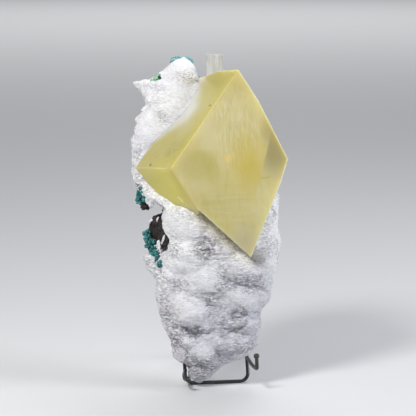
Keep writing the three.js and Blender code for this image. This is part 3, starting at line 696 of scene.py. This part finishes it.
calcite = {
    "bevel": 0.08 * mm, "bevelSegments": 2, "bevelFrom": 8,  # degrees at an edge
    "mergeDistance": 0.01 * mm, "flatWithin": 1,  # degrees
    # corners as x, y and z, or as x and z where they lie on the front face
    "apex": (16.3, -26, 175.9), "front": (-19.2, -46, 125.5), "right": (42.9, -28, 128.2),
    "left": (-39.8, -14, 121.7), "bend": (-4.8, 103.4), "tip": (22.9, 77.5),
    "crest": (27, 159.3), "flank": (39.3, 116.8),
    "topFacetOnBack": 0.47, "topFacetOnLeft": 0.925, "topFacetOnRight": 0.12,
    "undercutBack": 0.9, "undercutUp": 0.35, "rearFoot": 0.6,
    # corners at which the lower left flank is broken off, as shares of its edges back and down
    "broken": [(0.84, 0.62), (0.6, 0.9)],
    "straw": (0.65, 0.585, 0.255), "pale": (0.71, 0.645, 0.345), "beige": (0.72, 0.66, 0.385),
    "shade": (0.56, 0.50, 0.20), "dusty": (0.55, 0.50, 0.32), "paintedFlankShade": (0.79, 0.79, 0.72),
    "streak": (0.82, 0.76, 0.55), "olive": (0.52, 0.455, 0.12), "deep": (0.60, 0.51, 0.11),
    "lemon": (0.63, 0.565, 0.125), "paintedEdgeShadow": (0.52, 0.43, 0.09), "murky": (0.40, 0.37, 0.15),
    "amber": (0.65, 0.53, 0.105), "grey": (0.39, 0.34, 0.14), "paintedGlint": (1, 0.72, 0.28),
    "frost": (0.62, 0.61, 0.55), "rim": (0.92, 0.84, 0.60), "mark": (0.09, 0.09, 0.08),
    "bright": (1, 0.98, 0.90),
    # level lines low on the front face and a small dark one on its right: start, end, reach, strength
    "marks": [
        ((9, 108.5), (26.7, 107.8), 0.9, 0.14), ((-2, 107), (8, 106.6), 2.6, 0.25),
        ((4, 102.5), (27, 102.2), 0.8, 0.08), ((28.8, 118.7), (33.1, 119.1), 1, 0.6),
        ((10.6, 124), (9.4, 112), 0.8, 0.25),
    ],
    # small spots on the upper flank, two dark and one pale: colour, centre, radii
    "specks": [
        ("mark", (-30.9, -25.5, 124.6), (1.7, 2, 1.2)), ("mark", (1.1, -29.7, 157.1), (1.8, 2, 0.9)),
        ("bright", (-21.6, -41.5, 127.4), (1.1, 3, 1)),
    ],
    # the line on the upper left face along which the mordenite covers it, and how far each part frays
    "contact": [
        (-39, -12.9, 123.2), (-35, -9.3, 129.7), (-28.5, -7.3, 138), (-18, -11.6, 146.9),
        (-11.4, -15.7, 151.7), (-9.8, -7, 158.2), (-9.2, 0.2, 163.2), (-4.4, 0.6, 168.8),
    ],
    "frayReach": [4, 6, 9, 12, 15, 14, 9],
    "clear": 0.3, "flankHaze": 0.75, "absorption": (0.94, 0.84, 0.42), "density": 16,
    "shader": {"Roughness": 0.28, "IOR": 1.6, "Specular IOR Level": 0.25, "Subsurface Weight": 1,
               "Subsurface Radius": (1, 0.8, 0.35), "Subsurface Scale": 7 * mm},
}


def frontDirection():
    # square to the plane through the front face's apex, left corner and right corner
    apex, front, right = (np.array(calcite[name]) for name in ("apex", "front", "right"))
    return unit(np.cross(front - apex, right - apex))


def onFrontFace(x, z):
    # the point of that plane at a given x and z: y = (normal . apex - nx * x - nz * z) / ny
    normal = frontDirection()
    return np.array([x, (normal @ calcite["apex"] - normal[0] * x - normal[2] * z) / normal[1], z])


def crystalCorners(*names):
    # those given by x and z alone lie on the front face
    places = (calcite[name] for name in names)
    return [np.array(place) if len(place) == 3 else onFrontFace(*place) for place in places]


def calciteHulls():
    # planes of the two crystals grown together, as in the solid
    apex, front, right, left = crystalCorners("apex", "front", "right", "left")
    bend, tip, crest, flank = crystalCorners("bend", "tip", "crest", "flank")
    backward = left - front
    topBack, rightBack = apex + backward, right + backward
    facetBack = apex + backward * calcite["topFacetOnBack"]
    facetLeft = front + (apex - front) * calcite["topFacetOnLeft"] + backward
    facetRight = topBack + (rightBack - topBack) * calcite["topFacetOnRight"]
    underTip = tip + (right - tip) * calcite["undercutUp"] + backward * calcite["undercutBack"]
    rearLow = bend + (tip - bend) * calcite["rearFoot"] + backward
    broken = [front + backward * back + (bend - front) * down for back, down in calcite["broken"]]
    frontHull = [apex, front, bend, tip, flank, right, crest, facetBack, rightBack, underTip]
    rearHull = [apex, front, bend, left, facetBack, facetLeft, facetRight, rightBack, underTip, rearLow]
    return [hullPlanes(np.array(corners)) for corners in (frontHull, rearHull + broken)]


def hullPlanes(corners):
    # of all planes through three corners, those with every corner on one side: normals and distances
    triples = corners[np.array(list(itertools.combinations(range(len(corners)), 3)))]
    normals = np.cross(triples[:, 1] - triples[:, 0], triples[:, 2] - triples[:, 0])
    solid = np.linalg.norm(normals, axis=1) > 1e-6
    triples, normals = triples[solid], unit(normals[solid])
    levels = np.einsum("ij,ij->i", normals, triples[:, 0])
    heights = corners @ normals.T - levels
    inside, outside = heights.max(axis=0) < 1e-4, heights.min(axis=0) > -1e-4
    kept = inside | outside
    flip = np.where(outside, -1, 1)
    return (normals * flip[:, None])[kept], (levels * flip)[kept]


def makeCalcite():
    # the solid's own shape with its loose triangles merged and its edges slightly rounded
    work = bmesh.new()
    work.from_mesh(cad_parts["calcite_crystal"].data)
    bmesh.ops.remove_doubles(work, verts=work.verts, dist=calcite["mergeDistance"])
    bmesh.ops.dissolve_limit(work, angle_limit=math.radians(calcite["flatWithin"]),
                             verts=work.verts, edges=work.edges)
    mesh = bpy.data.meshes.new("calciteCrystal")
    work.to_mesh(mesh)
    work.free()
    mesh.materials.clear()
    mesh.shade_smooth()
    piece = addObject("calciteCrystal", mesh)
    bevel = piece.modifiers.new("edges", "BEVEL")
    bevel.width, bevel.segments = calcite["bevel"], calcite["bevelSegments"]
    bevel.limit_method = "ANGLE"
    bevel.angle_limit = math.radians(calcite["bevelFrom"])
    bevel.harden_normals = True
    giveLook(piece, calciteFinish(), "calcite_crystal")


def calciteFinish():
    finish = Finish("calcite", calcite, "straw")
    tint, line, blob, ramp, noise = finish.tint, finish.line, finish.blob, finish.ramp, finish.noise
    inward = frontDirection()
    apex, front, right, left = crystalCorners("apex", "front", "right", "left")
    bend, tip, crest, flank = crystalCorners("bend", "tip", "crest", "flank")

    def faceSide(*places, blur):
        # a plane square to the front face through two (x, z) places of it, and one on its bright side
        start, end, towards = (onFrontFace(*place) for place in places)
        return finish.side(start, end, inward, towards, blur)

    def faceBlob(x, z, radii, soft=1):
        return blob(onFrontFace(x, z), radii, soft)

    tint("pale", 1, ramp(noise(20, 3, 0.5), 0.35, 0.65))
    tint("beige", 0.5, ramp(noise(13, 4, 0.6, (1, 1, 0.7), 1.2), 0.52, 0.66))
    veils = noise(2.6, 4, 0.65, (1, 1, 0.16))
    tint("pale", 0.4, ramp(veils, 0.5, 0.68))
    tint("olive", 0.2, ramp(veils, 0.5, 0.34))
    # upright streaks in the upper half of the front face and level ones in its lower half
    upright, level = noise(1.2, 3, 0.65, (1, 1, 0.06)), noise(2, 3, 0.6, (0.14, 0.14, 1))
    for streaks, z, reach, share in ((upright, 145, 34, 0.6), (level, 103, 22, 0.2)):
        zone = faceBlob(14, z, (24, 14, reach), 0.7)
        tint("streak", share, ramp(streaks, 0.5, 0.66), zone)
        tint("olive", share / 2, ramp(streaks, 0.48, 0.34), zone)
    # pale zones: upper left and the tip
    tint("beige", 0.85, faceBlob(0, 142, (11, 14, 15)))
    tint("dusty", 0.8, faceBlob(19, 83, (16, 16, 18)))
    # a darker block left of the middle, with a sharp top and a sharp right side that meet at its corner
    middle, corner = (-2, 128), (5.3, 134.2)
    tint("olive", 0.5, faceSide((-9.5, 134.7), corner, middle, blur=1.2),
         faceSide((5.8, 122.7), corner, middle, blur=1.2), faceBlob(-4, 127, (16, 14, 13), 0.8))
    # the amber zone, cut off on its right by a slanting plane, and the grey zone beyond it
    before = faceSide((32.1, 135.4), (26.1, 112.5), (22, 127), blur=0.6)
    tint("amber", 0.75, before, faceBlob(22, 126, (19, 16, 28)))
    tint("grey", 0.85, finish.inverse(before), faceBlob(36, 131, (15, 14, 19), 0.9))
    tint("grey", 0.6, faceBlob(33.5, 143, (8, 14, 14)))
    # a painted highlight: a small warm glint on the front face
    tint("paintedGlint", 0.5, faceBlob(10.8, 129.8, (3.4, 6, 3.8)))
    for start, end, reach, strength in calcite["marks"]:
        tint("olive", strength, line(onFrontFace(*start), onFrontFace(*end), reach))
    # the saturated flanks left of the front face, one above the left corner's edge and one beneath it; both
    # are painted darker as shade, the upper one more
    leftward = faceSide(front[::2], apex[::2], (-20, 150), blur=0.3)
    under = finish.side(front, left, inward, (-22, -32, 108), 0.4)
    above = finish.both(leftward, finish.inverse(under))
    beneath = finish.both(under, faceSide(front[::2], calcite["bend"], (-30, 100), blur=0.3))
    flanks = finish.either(above, beneath)
    tint("shade", 0.45, above)
    tint("paintedFlankShade", 1, flanks, blend="MULTIPLY")
    tint("deep", 0.25, blob((-22, -36, 128), (15, 17, 17), 0.9), flanks)
    murk = ramp(noise(5, 3, 0.6, (1, 1, 1.6), 0.8), 0.42, 0.60, 0.35, 1)
    tint("murky", 1, blob((-18, -36, 134), (14, 18, 9.5), 0.8), murk, above)
    tint("lemon", 0.95, blob((-26, -28, 115), (28, 30, 22), 0.5), beneath)
    # painted shadow: a darker orange strip on the lower flank along the front face's lower left edge
    tint("paintedEdgeShadow", 0.8, line((-18, -44, 123), (-9, -43, 110), 9), beneath)
    top = blob((8, -20, 168), (17, 18, 16), 0.9)
    tint("olive", 0.5, top)
    tint("olive", 0.9, top, leftward)
    tint("murky", 0.35, top, leftward)
    tint("olive", 0.85, line(front, apex, 8), leftward)
    for name, centre, radii in calcite["specks"]:
        tint(name, 0.9, blob(centre, radii))
    tint("bright", 0.5, line((-16, -35.5, 108.7), (-13.3, -37, 106.3), 0.8))
    # the inner edges stay dark, and painted highlights run as thin light rims along the outer edges of the
    # front face
    tint("dusty", 0.5, finish.either(finish.route([apex, front, left], 1), line(front, bend, 1)))
    tint("rim", 0.4, finish.route([apex, crest, right, flank, tip, bend], 0.8))
    # the crystal thins out to white where the mordenite covers it and at its foot
    wisps = ramp(noise(7, 3, 0.5, (1, 1, 0.5)), 0.3, 0.7, 0.8, 1.2)
    fray = finish.both(wisps, finish.route(calcite["contact"], calcite["frayReach"]))
    frosted = ramp(finish.either(fray, line((-7.5, -44, 101.5), (-13.5, -36, 100.5), 2)), 0, 1)
    tint("frost", 1, frosted)
    hazy = finish.either(frosted, finish.both(flanks, calcite["flankHaze"]))
    inside = finish.node("VolumeAbsorption", "Volume",
                         {"Color": calcite["absorption"], "Density": calcite["density"]})
    nodes = finish.tree.nodes
    finish.feed(nodes["Principled BSDF"].inputs["Transmission Weight"],
                ramp(hazy, 0, 1, calcite["clear"], 0))
    finish.feed(nodes["Material Output"].inputs["Volume"], inside)
    finish.bump(noise(17, 2), 0.5, 0.25)
    finish.bump(noise(6, 3, 0.6, (6, 6, 0.35)), 0.1, 0.3)
    return finish.finished()


# Stilbite

stilbite = {
    "foot": (3.85, 9, 156), "width": 9.6, "depth": 4.2, "top": 182.2, "topDrop": 0.8, "bevel": 1.3,
    "columns": 180, "rows": 60, "ridge": 0.035, "ridgeMean": 0.6, "ridgeSwing": 0.4,
    # ridges: how much closer they lie along the sides, and the spacing and salt of the coarse and fine ones
    "ridgeStretch": 0.06, "ridgeLevels": 3, "coarseRidges": (0.7, 91), "fineRidges": (0.35, 97),
    "capShares": (0.94, 0.6, 0.25), "sharpFrom": 35,  # degrees at an edge
    "white": (0.60, 0.60, 0.57), "clear": (0.48, 0.48, 0.45),
    "shader": {"Roughness": 0.4, "IOR": 1.5, "Transmission Weight": 0.08, "Subsurface Weight": 0.3,
               "Subsurface Radius": (1, 1, 1), "Subsurface Scale": 1 * mm},
}


def makeStilbite():
    # a six-sided outline carried upwards; fine upright ridges step its sides in and out
    blade = stilbite
    halfWidth, halfDepth = blade["width"] / 2, blade["depth"] / 2
    flat = halfWidth - blade["bevel"]
    corners = np.array([(halfWidth, 0), (flat, halfDepth), (-flat, halfDepth), (-halfWidth, 0),
                        (-flat, -halfDepth), (flat, -halfDepth), (halfWidth, 0)])
    lengths = np.concatenate([[0], np.cumsum(np.linalg.norm(np.diff(corners, axis=0), axis=1))])
    along = lengths[-1] * np.arange(blade["columns"]) / blade["columns"]
    outline = np.stack([np.interp(along, lengths, places) for places in corners.T], axis=-1)

    def topAt(x):
        # the top slants: it drops from the left to the right
        return blade["top"] - blade["topDrop"] * (x / blade["width"] + 0.5)

    x, y, foot = blade["foot"]
    z = foot + np.linspace(0, 1, blade["rows"])[:, None] * (topAt(outline[:, 0]) - foot)
    probe = np.stack([np.broadcast_to(along, z.shape), 0 * z, z * blade["ridgeStretch"]], axis=-1)
    levels = blade["ridgeLevels"]
    ridges = np.round(levels * smoothNoise(probe, *blade["coarseRidges"])) / levels
    ridges = ridges + 0.5 * smoothNoise(probe, *blade["fineRidges"])
    ridges = blade["ridgeMean"] + blade["ridgeSwing"] * ridges[..., None]
    shrink = 1 - blade["ridge"] * ridges / halfDepth
    sides = np.concatenate([outline * shrink, z[..., None]], axis=-1)
    # the flat top: the last outline drawn in to the middle
    cap = sides[-1, :, :2] * np.array(blade["capShares"])[:, None, None]
    cap = np.concatenate([cap, topAt(cap[..., :1])], axis=-1)
    grid = np.concatenate([sides, cap]) + (x, y, 0)
    piece = makePiece("stilbiteBlade", [grid], stilbiteFinish(), "stilbite", "stilbite_blade")
    piece.data.set_sharp_from_angle(angle=math.radians(blade["sharpFrom"]))


def stilbiteFinish():
    finish = Finish("stilbite", stilbite, "clear")
    streaks = finish.noise(1.6, 3, 0.6, (1.6, 1.6, 0.12))
    finish.tint("white", 1, finish.ramp(streaks, 0.38, 0.62))
    # painted light: the blade's upper left side is whiter, where the light falls on it
    finish.tint("white", 0.7, finish.blob((-0.6, 7.5, 178), (2.6, 6, 14)))
    finish.bump(streaks, 0.05, 0.4)
    return finish.finished()


# Basalt

basalt = {
    # corners of the spur that shows in the left notch, and of the slab on the back
    "spur": [
        (-33.6, -9, 88.5), (-34, -7, 83.5), (-31.5, -10, 93), (-27, -13, 95), (-25.8, -19, 92.3),
        (-24.8, -22.5, 88.3), (-20.8, -26, 83.5), (-23, -26, 79.4), (-27.5, -18, 79),
        (-31.5, -12, 79.6), (-30, 8, 83), (-27, 9, 93), (-14, 8, 96), (-14, 4, 80),
    ],
    "slab": [
        (-27, 10, 92), (-24, 21.5, 100), (-26, 22, 116), (-14, 25.5, 128), (2, 26, 132), (17, 22.5, 121),
        (20, 22, 106), (10, 22.6, 99), (-8, 22.4, 98.6), (-18, 15, 90), (-20, 12, 126), (12, 10, 122),
        (14, 10, 104), (-10, 4, 88),
    ],
    # broken bits under the upper crust: middle and radius
    "bits": [(-34.9, -8.6, 99.7, 2.3), (-33.6, -8.8, 102.2, 1.9), (-36, -8.6, 101.2, 1.5)],
    "bitBalls": (41, 24, 32, 0.45),  # salt, rows, columns, roughness
    "rows": 150, "columns": 220, "edgeSharpness": 30, "inset": 0.35,
    # broken relief: spacing, height, salt, and the level that counts as flat
    "relief": [(4.2, 1.3, 13), (2, 0.8, 17), (1, 0.35, 19)], "reliefLevel": 0.35,
    "dark": (0.009, 0.007, 0.006), "brown": (0.032, 0.023, 0.019), "fleck": (0.11, 0.10, 0.09),
    "shader": {"Roughness": 0.82},
}


def brokenRock(corners):
    # seen from its middle, the distance in each direction is the smooth minimum over the hull's planes
    corners = np.array(corners, float)
    middle = corners.mean(axis=0)
    normals, levels = hullPlanes(corners)
    directions = sphereDirections(basalt["rows"], basalt["columns"])
    closeness = np.maximum(directions @ normals.T, 0) / (levels - normals @ middle)
    power = basalt["edgeSharpness"]
    reach = (closeness ** power).sum(axis=-1) ** (-1 / power)
    surface = middle + directions * (reach - basalt["inset"])[..., None]
    outward = gridNormals(surface)
    for spacing, height, salt in basalt["relief"]:
        # flakes with sharp valleys, and half as fine chips over them
        chips = np.abs(smoothNoise(surface, spacing, salt))
        chips = chips + 0.5 * smoothNoise(surface, spacing / 2, salt + 1)
        surface = surface + (height * (chips - basalt["reliefLevel"]))[..., None] * outward
    return surface


def makeBasalt():
    bits = np.array(basalt["bits"])
    bits = roughBalls(bits[:, :3], bits[:, 3], *basalt["bitBalls"])
    rocks = [brokenRock(basalt["spur"]), brokenRock(basalt["slab"]), *bits]
    makePiece("basaltRock", rocks, basaltFinish(), "basalt", "basalt_matrix")


def basaltFinish():
    finish = Finish("basalt", basalt, "dark")
    mottle = finish.noise(2.6, 4, 0.65)
    finish.tint("brown", 1, finish.ramp(mottle, 0.4, 0.62))
    finish.tint("fleck", 0.7, finish.ramp(finish.noise(0.6, 2, 0.6), 0.64, 0.72))
    finish.bump(mottle, 0.5, 0.8)
    finish.bump(finish.noise(0.5, 3, 0.7), 0.25, 0.8)
    return finish.finished()


# Celadonite

celadonite = {
    # grains as (x, y, z, radius), one list for each crust
    "crusts": {
        "notch_upper": [
            (-36.9, -10.6, 107.4, 2.2), (-36.2, -11.4, 104.8, 2.3), (-37.7, -8.6, 105, 1.9),
            (-37.3, -8.2, 102.6, 2), (-36, -8.6, 101.6, 1.6),
        ],
        "notch_lower": [
            (-33.6, -13, 84.6, 1.9), (-32.6, -15, 82.1, 2.1), (-30.8, -16.5, 80.7, 2.1),
            (-31.6, -16.5, 78.2, 2), (-30, -18.5, 76.6, 1.9), (-28.6, -21, 74.7, 2),
            (-27.8, -23.2, 73.9, 1.8), (-27, -25.6, 73, 1.9), (-26.2, -28.2, 71, 1.5),
        ],
        "shoulder": [(-28.6, -1, 168.6, 1.6), (-26.8, -1.4, 170.2, 1.7)],
        "crest_left": [(-18.4, 3, 178.7, 1.3), (-16.2, 3.2, 179.6, 1.3)],
        "crest_right": [(-11.1, 3.6, 179.2, 1.2), (-9.8, 3.4, 178.1, 1.1)],
    },
    "firstSalt": 100, "coreShare": 0.66,
    "coreBalls": (16, 24, 0.3), "crumbBalls": (6, 9, 0.55),  # rows, columns, roughness
    # small grains on each large one: their number, how far out and how loosely they lie, radii, paleness
    "crumbs": 30, "crumbShare": 0.76, "scatter": 0.46, "crumbRadius": (0.25, 1), "crumbPale": (0.35, 1),
    "teal": (0.014, 0.100, 0.105), "light": (0.070, 0.330, 0.320), "dark": (0.006, 0.030, 0.032),
    "green": (0.33, 0.54, 0.38), "sky": (0.26, 0.47, 0.49), "shader": {"Roughness": 0.85},
}


def crustBalls(grains, salt):
    # each grain as a rough core with crumbs over it at the turns of a golden spiral, and their paleness
    look = celadonite
    centres, radii = np.split(np.array(grains, float), [3], axis=1)
    core = roughBalls(centres, radii[:, 0] * look["coreShare"], salt, *look["coreBalls"])
    step = np.arange(look["crumbs"])
    rise = 1 - 2 * (step + 0.5) / look["crumbs"]
    turn = step * math.pi * (3 - math.sqrt(5))
    level = np.sqrt(1 - rise ** 2)
    spiral = np.stack([level * np.cos(turn), level * np.sin(turn), rise], axis=-1)
    centres = (centres[:, None] + spiral * radii[:, None] * look["crumbShare"]).reshape(-1, 3)
    random = np.random.default_rng(salt)
    centres = centres + random.normal(0, look["scatter"], centres.shape)
    radii = random.uniform(*look["crumbRadius"], len(centres))
    crumbs = roughBalls(centres, radii, salt + 3, *look["crumbBalls"])
    paleness = np.concatenate([np.zeros(len(core)), random.uniform(*look["crumbPale"], len(crumbs))])
    return [*core, *crumbs], paleness


def makeCeladonite():
    material = celadoniteFinish()
    for salt, (name, grains) in enumerate(celadonite["crusts"].items(), celadonite["firstSalt"]):
        balls, paleness = crustBalls(grains, salt)
        # each ball's value stands at its grid points and its two closing points
        pale = np.repeat(paleness, [ball.shape[0] * ball.shape[1] + 2 for ball in balls])
        pieceName = "celadonite" + name.title().replace("_", "")
        makePiece(pieceName, balls, material, "celadonite", "celadonite_" + name, paleness=pale)


def celadoniteFinish():
    finish = Finish("celadonite", celadonite, "teal")
    tint, blob, ramp, noise = finish.tint, finish.blob, finish.ramp, finish.noise
    mottle = noise(1.4, 3, 0.6)
    blend = finish.both(finish.pointValue("paleness"), ramp(mottle, 0.3, 0.6, 0.3, 1))
    tint("light", 1, ramp(blend, 0.1, 0.85))
    tint("dark", 0.8, ramp(noise(1.1, 2, 0.6), 0.38, 0.50, 1, 0))
    # the green crust on the shoulder with a hole painted dark as its shade, the paler ones on the crest, and
    # a hole in the lower one painted dark the same way
    tint("green", 0.95, blob((-27, -2, 169.5), (6, 8, 6), 0.5))
    tint("dark", 0.95, blob((-26.4, -3, 169.9), (1.3, 3, 1.2), 0.4))
    tint("sky", 1, blob((-13.8, 3.2, 179.3), (8, 8, 5), 0.3), ramp(mottle, 0.35, 0.6, 0.5, 1))
    tint("dark", 0.95, blob((-31, -18.6, 80.3), (0.9, 3, 0.9), 0.4))
    finish.bump(mottle, 0.3, 0.8)
    return finish.finished()


# Wire stand

stand = {
    "wireRadius": 1, "centre": (5, -21), "turn": 8, "lean": 24,
    "halfWidth": 17.5, "corner": 4.5, "postTop": 79, "buttGap": 0.5,
    "legTop": 52, "legOffset": 2.55, "footY": 42.6, "footCorner": 6,
    "hookOffset": 2.55, "ballRadius": 1.6, "ballTip": 0.4, "ballSteps": 13,
    "endSteps": np.linspace(0.15, 1, 6)[:-1],  # shares of a quarter turn at which an end is rounded
    # node, side, height at the post, and the points that the wire passes
    "hooks": {
        "standHookRight": ("stand_hook_right", 1, 13.3, [
            (23.6, -26, 12.8), (25.8, -35, 12.5), (26.5, -38.2, 13.4), (26.4, -39, 15.8), (26.2, -39, 20.2)]),
        "standHookLeft": ("stand_hook_left", -1, 8, [
            (-13.1, -28, 7), (-12.4, -35, 6.2), (-10.8, -38.6, 7.1)]),
    },
    "sides": 20, "archSteps": 40, "cornerSteps": 12, "hookSteps": 14,
    "black": (0.016, 0.016, 0.017), "worn": (0.05, 0.048, 0.045),
    "shader": {"Roughness": 0.32, "Coat Weight": 0.3, "Coat Roughness": 0.25},
}


def standAxes():
    # level directions across the frame and to its back
    turn = math.radians(stand["turn"])
    return (np.array([math.cos(turn), math.sin(turn), 0]),
            np.array([-math.sin(turn), math.cos(turn), 0]))


def framePoint(across, rise):
    # a point of the leaning frame: across from its middle and rise up along the lean
    acrossAxis, backAxis = standAxes()
    lean = math.radians(stand["lean"])
    upAxis = backAxis * math.sin(lean) + np.array([0, 0, math.cos(lean)])
    start = np.array([*stand["centre"], stand["wireRadius"]])
    return start + np.multiply.outer(across, acrossAxis) + np.multiply.outer(rise, upAxis)


def roundedCorner(before, corner, after, radius):
    # an arc in place of a corner: centre + cos * (start - centre) + sin * radius * (onwards)
    back, ahead = unit(before - corner), unit(after - corner)
    half = math.acos(np.clip(back @ ahead, -1, 1)) / 2
    centre = corner + unit(back + ahead) * radius / math.sin(half)
    start = corner + back * radius / math.tan(half)
    angle = np.linspace(0, math.pi - 2 * half, stand["cornerSteps"])[:, None]
    return centre + np.cos(angle) * (start - centre) - np.sin(angle) * radius * back


def roundedBend(before, first, second, after, radius):
    # the way from before to after round two corners
    return [*roundedCorner(before, first, second, radius), *roundedCorner(first, second, after, radius)]


def roundedStart(path, radii):
    # extra points before the first one, with radii that close that end like half a ball
    turn = stand["endSteps"] * np.pi / 2
    radii = np.broadcast_to(radii, len(path))
    away = np.outer(np.cos(turn) * radii[0], unit(path[1] - path[0]))
    return np.concatenate([path[0] - away, path]), np.concatenate([radii[0] * np.sin(turn), radii])


def bentRoute(points, steps):
    # a centripetal Catmull-Rom curve: its pace follows the square root of the distance, and each piece
    # is lines through four points, mixed by pairs until one point is left
    points = np.array([2 * np.array(points[0]) - points[1], *points, 2 * np.array(points[-1]) - points[-2]])
    pieces = []
    for number in range(len(points) - 3):
        mixed = points[number:number + 4]
        time = np.append(0, np.cumsum(np.linalg.norm(np.diff(mixed, axis=0), axis=1) ** 0.5))
        now = np.linspace(time[1], time[2], steps, endpoint=False)[:, None]
        for spans in ([(0, 1), (1, 2), (2, 3)], [(0, 2), (1, 3)], [(1, 2)]):
            mixed = [start + (end - start) * (now - time[first]) / (time[last] - time[first])
                     for start, end, (first, last) in zip(mixed, mixed[1:], spans)]
        pieces.append(mixed[0])
    return np.concatenate([*pieces, points[-2:-1]])


def makeWire(name, node, path, radii, sideways, material):
    # a ring of the wire's section at each point of the path, square to the path there
    ring = ringsAlong(path, sideways, stand["sides"])
    tube = path[:, None] + ring * np.broadcast_to(radii, len(path))[:, None, None]
    makePiece(name, [tube], material, "stand_wire", node, base=0)


def makeStand():
    material = wireFinish()
    across, backward = standAxes()
    half, radius = stand["halfWidth"], stand["wireRadius"]
    # the frame: down the right post, along the bar and up the left post, with a round arch on top
    arch = np.linspace(stand["buttGap"] / half / 2, np.pi / 2, stand["archSteps"])
    right, left = (framePoint(side * half * np.sin(arch), stand["postTop"] + half * np.cos(arch))
                   for side in (1, -1))
    bar = roundedBend(right[-1], framePoint(half, 0), framePoint(-half, 0), left[-1], stand["corner"])
    frameBack = np.cross(across, framePoint(0, 1) - framePoint(0, 0))
    makeWire("standFrame", "stand_frame", np.array([*right, *bar, *left[::-1]]), radius, frameBack, material)
    # the rear leg: a U from the posts down to a foot bar
    tops = [framePoint(side * half, stand["legTop"]) + backward * stand["legOffset"] for side in (-1, 1)]
    middle = np.array([stand["centre"][0], stand["footY"], radius])
    feet = [middle + across * side * half for side in (-1, 1)]
    bar = roundedBend(tops[0], *feet, tops[1], stand["footCorner"])
    path, radii = roundedStart(np.array([tops[0], *bar, tops[1]]), radius)
    path, radii = roundedStart(path[::-1], radii[::-1])
    legBack = np.cross(across, tops[0] - feet[0])
    makeWire("standRearLeg", "stand_rear_leg", path[::-1], radii, legBack, material)
    for name, (node, side, height, points) in stand["hooks"].items():
        rise = (height - radius) / math.cos(math.radians(stand["lean"]))
        start = framePoint(side * half, rise) - backward * stand["hookOffset"]
        path = bentRoute([start, *points], stand["hookSteps"])
        # the wire swells into a small ball round its last point: radius ** 2 = ball ** 2 - swell ** 2
        swell = np.linspace(-1, 1, stand["ballSteps"])[1:-1] * stand["ballRadius"]
        ballRadii = np.maximum(np.sqrt(stand["ballRadius"] ** 2 - swell ** 2),
                               np.where(swell < 0, radius, stand["ballTip"]))
        ball = path[-1] + np.outer(swell, unit(path[-1] - path[-2]))
        path = path[np.linalg.norm(path - path[-1], axis=1) > stand["ballRadius"]]
        radii = np.concatenate([np.full(len(path), radius), ballRadii])
        path, radii = roundedStart(np.concatenate([path, ball]), radii)
        makeWire(name, node, path, radii, across, material)


def wireFinish():
    finish = Finish("blackWire", stand, "black")
    finish.tint("worn", 1, finish.ramp(finish.noise(3, 4, 0.7), 0.58, 0.74))
    finish.bump(finish.noise(0.5, 2, 0.6), 0.04, 0.5)
    return finish.finished()


# Floor

def makeFloor():
    # a flat disk: a fan of triangles from its middle to its rim
    index = np.arange(floorSet["rim"])
    angle = 2 * np.pi * index / len(index)
    rim = floorSet["radius"] * np.stack([np.cos(angle), np.sin(angle), 0 * angle], axis=-1)
    fan = np.stack([np.full(len(index), len(index)), index, np.roll(index, -1)], axis=-1)
    floor = makeObject("floor", np.concatenate([rim, [[0, 0, 0]]]), [fan], smooth=False)
    floor.data.materials.append(Finish("paleFloor", floorSet, "colour").finished())


makeCamera()
makeLights()
makeFloor()
print("camera, lights and floor are set")
makeMordenite()
print("mordenite is made")
makeCalcite()
makeStilbite()
print("crystals are made")
makeBasalt()
makeCeladonite()
print("rock and crusts are made")
makeStand()
print("stand is made")
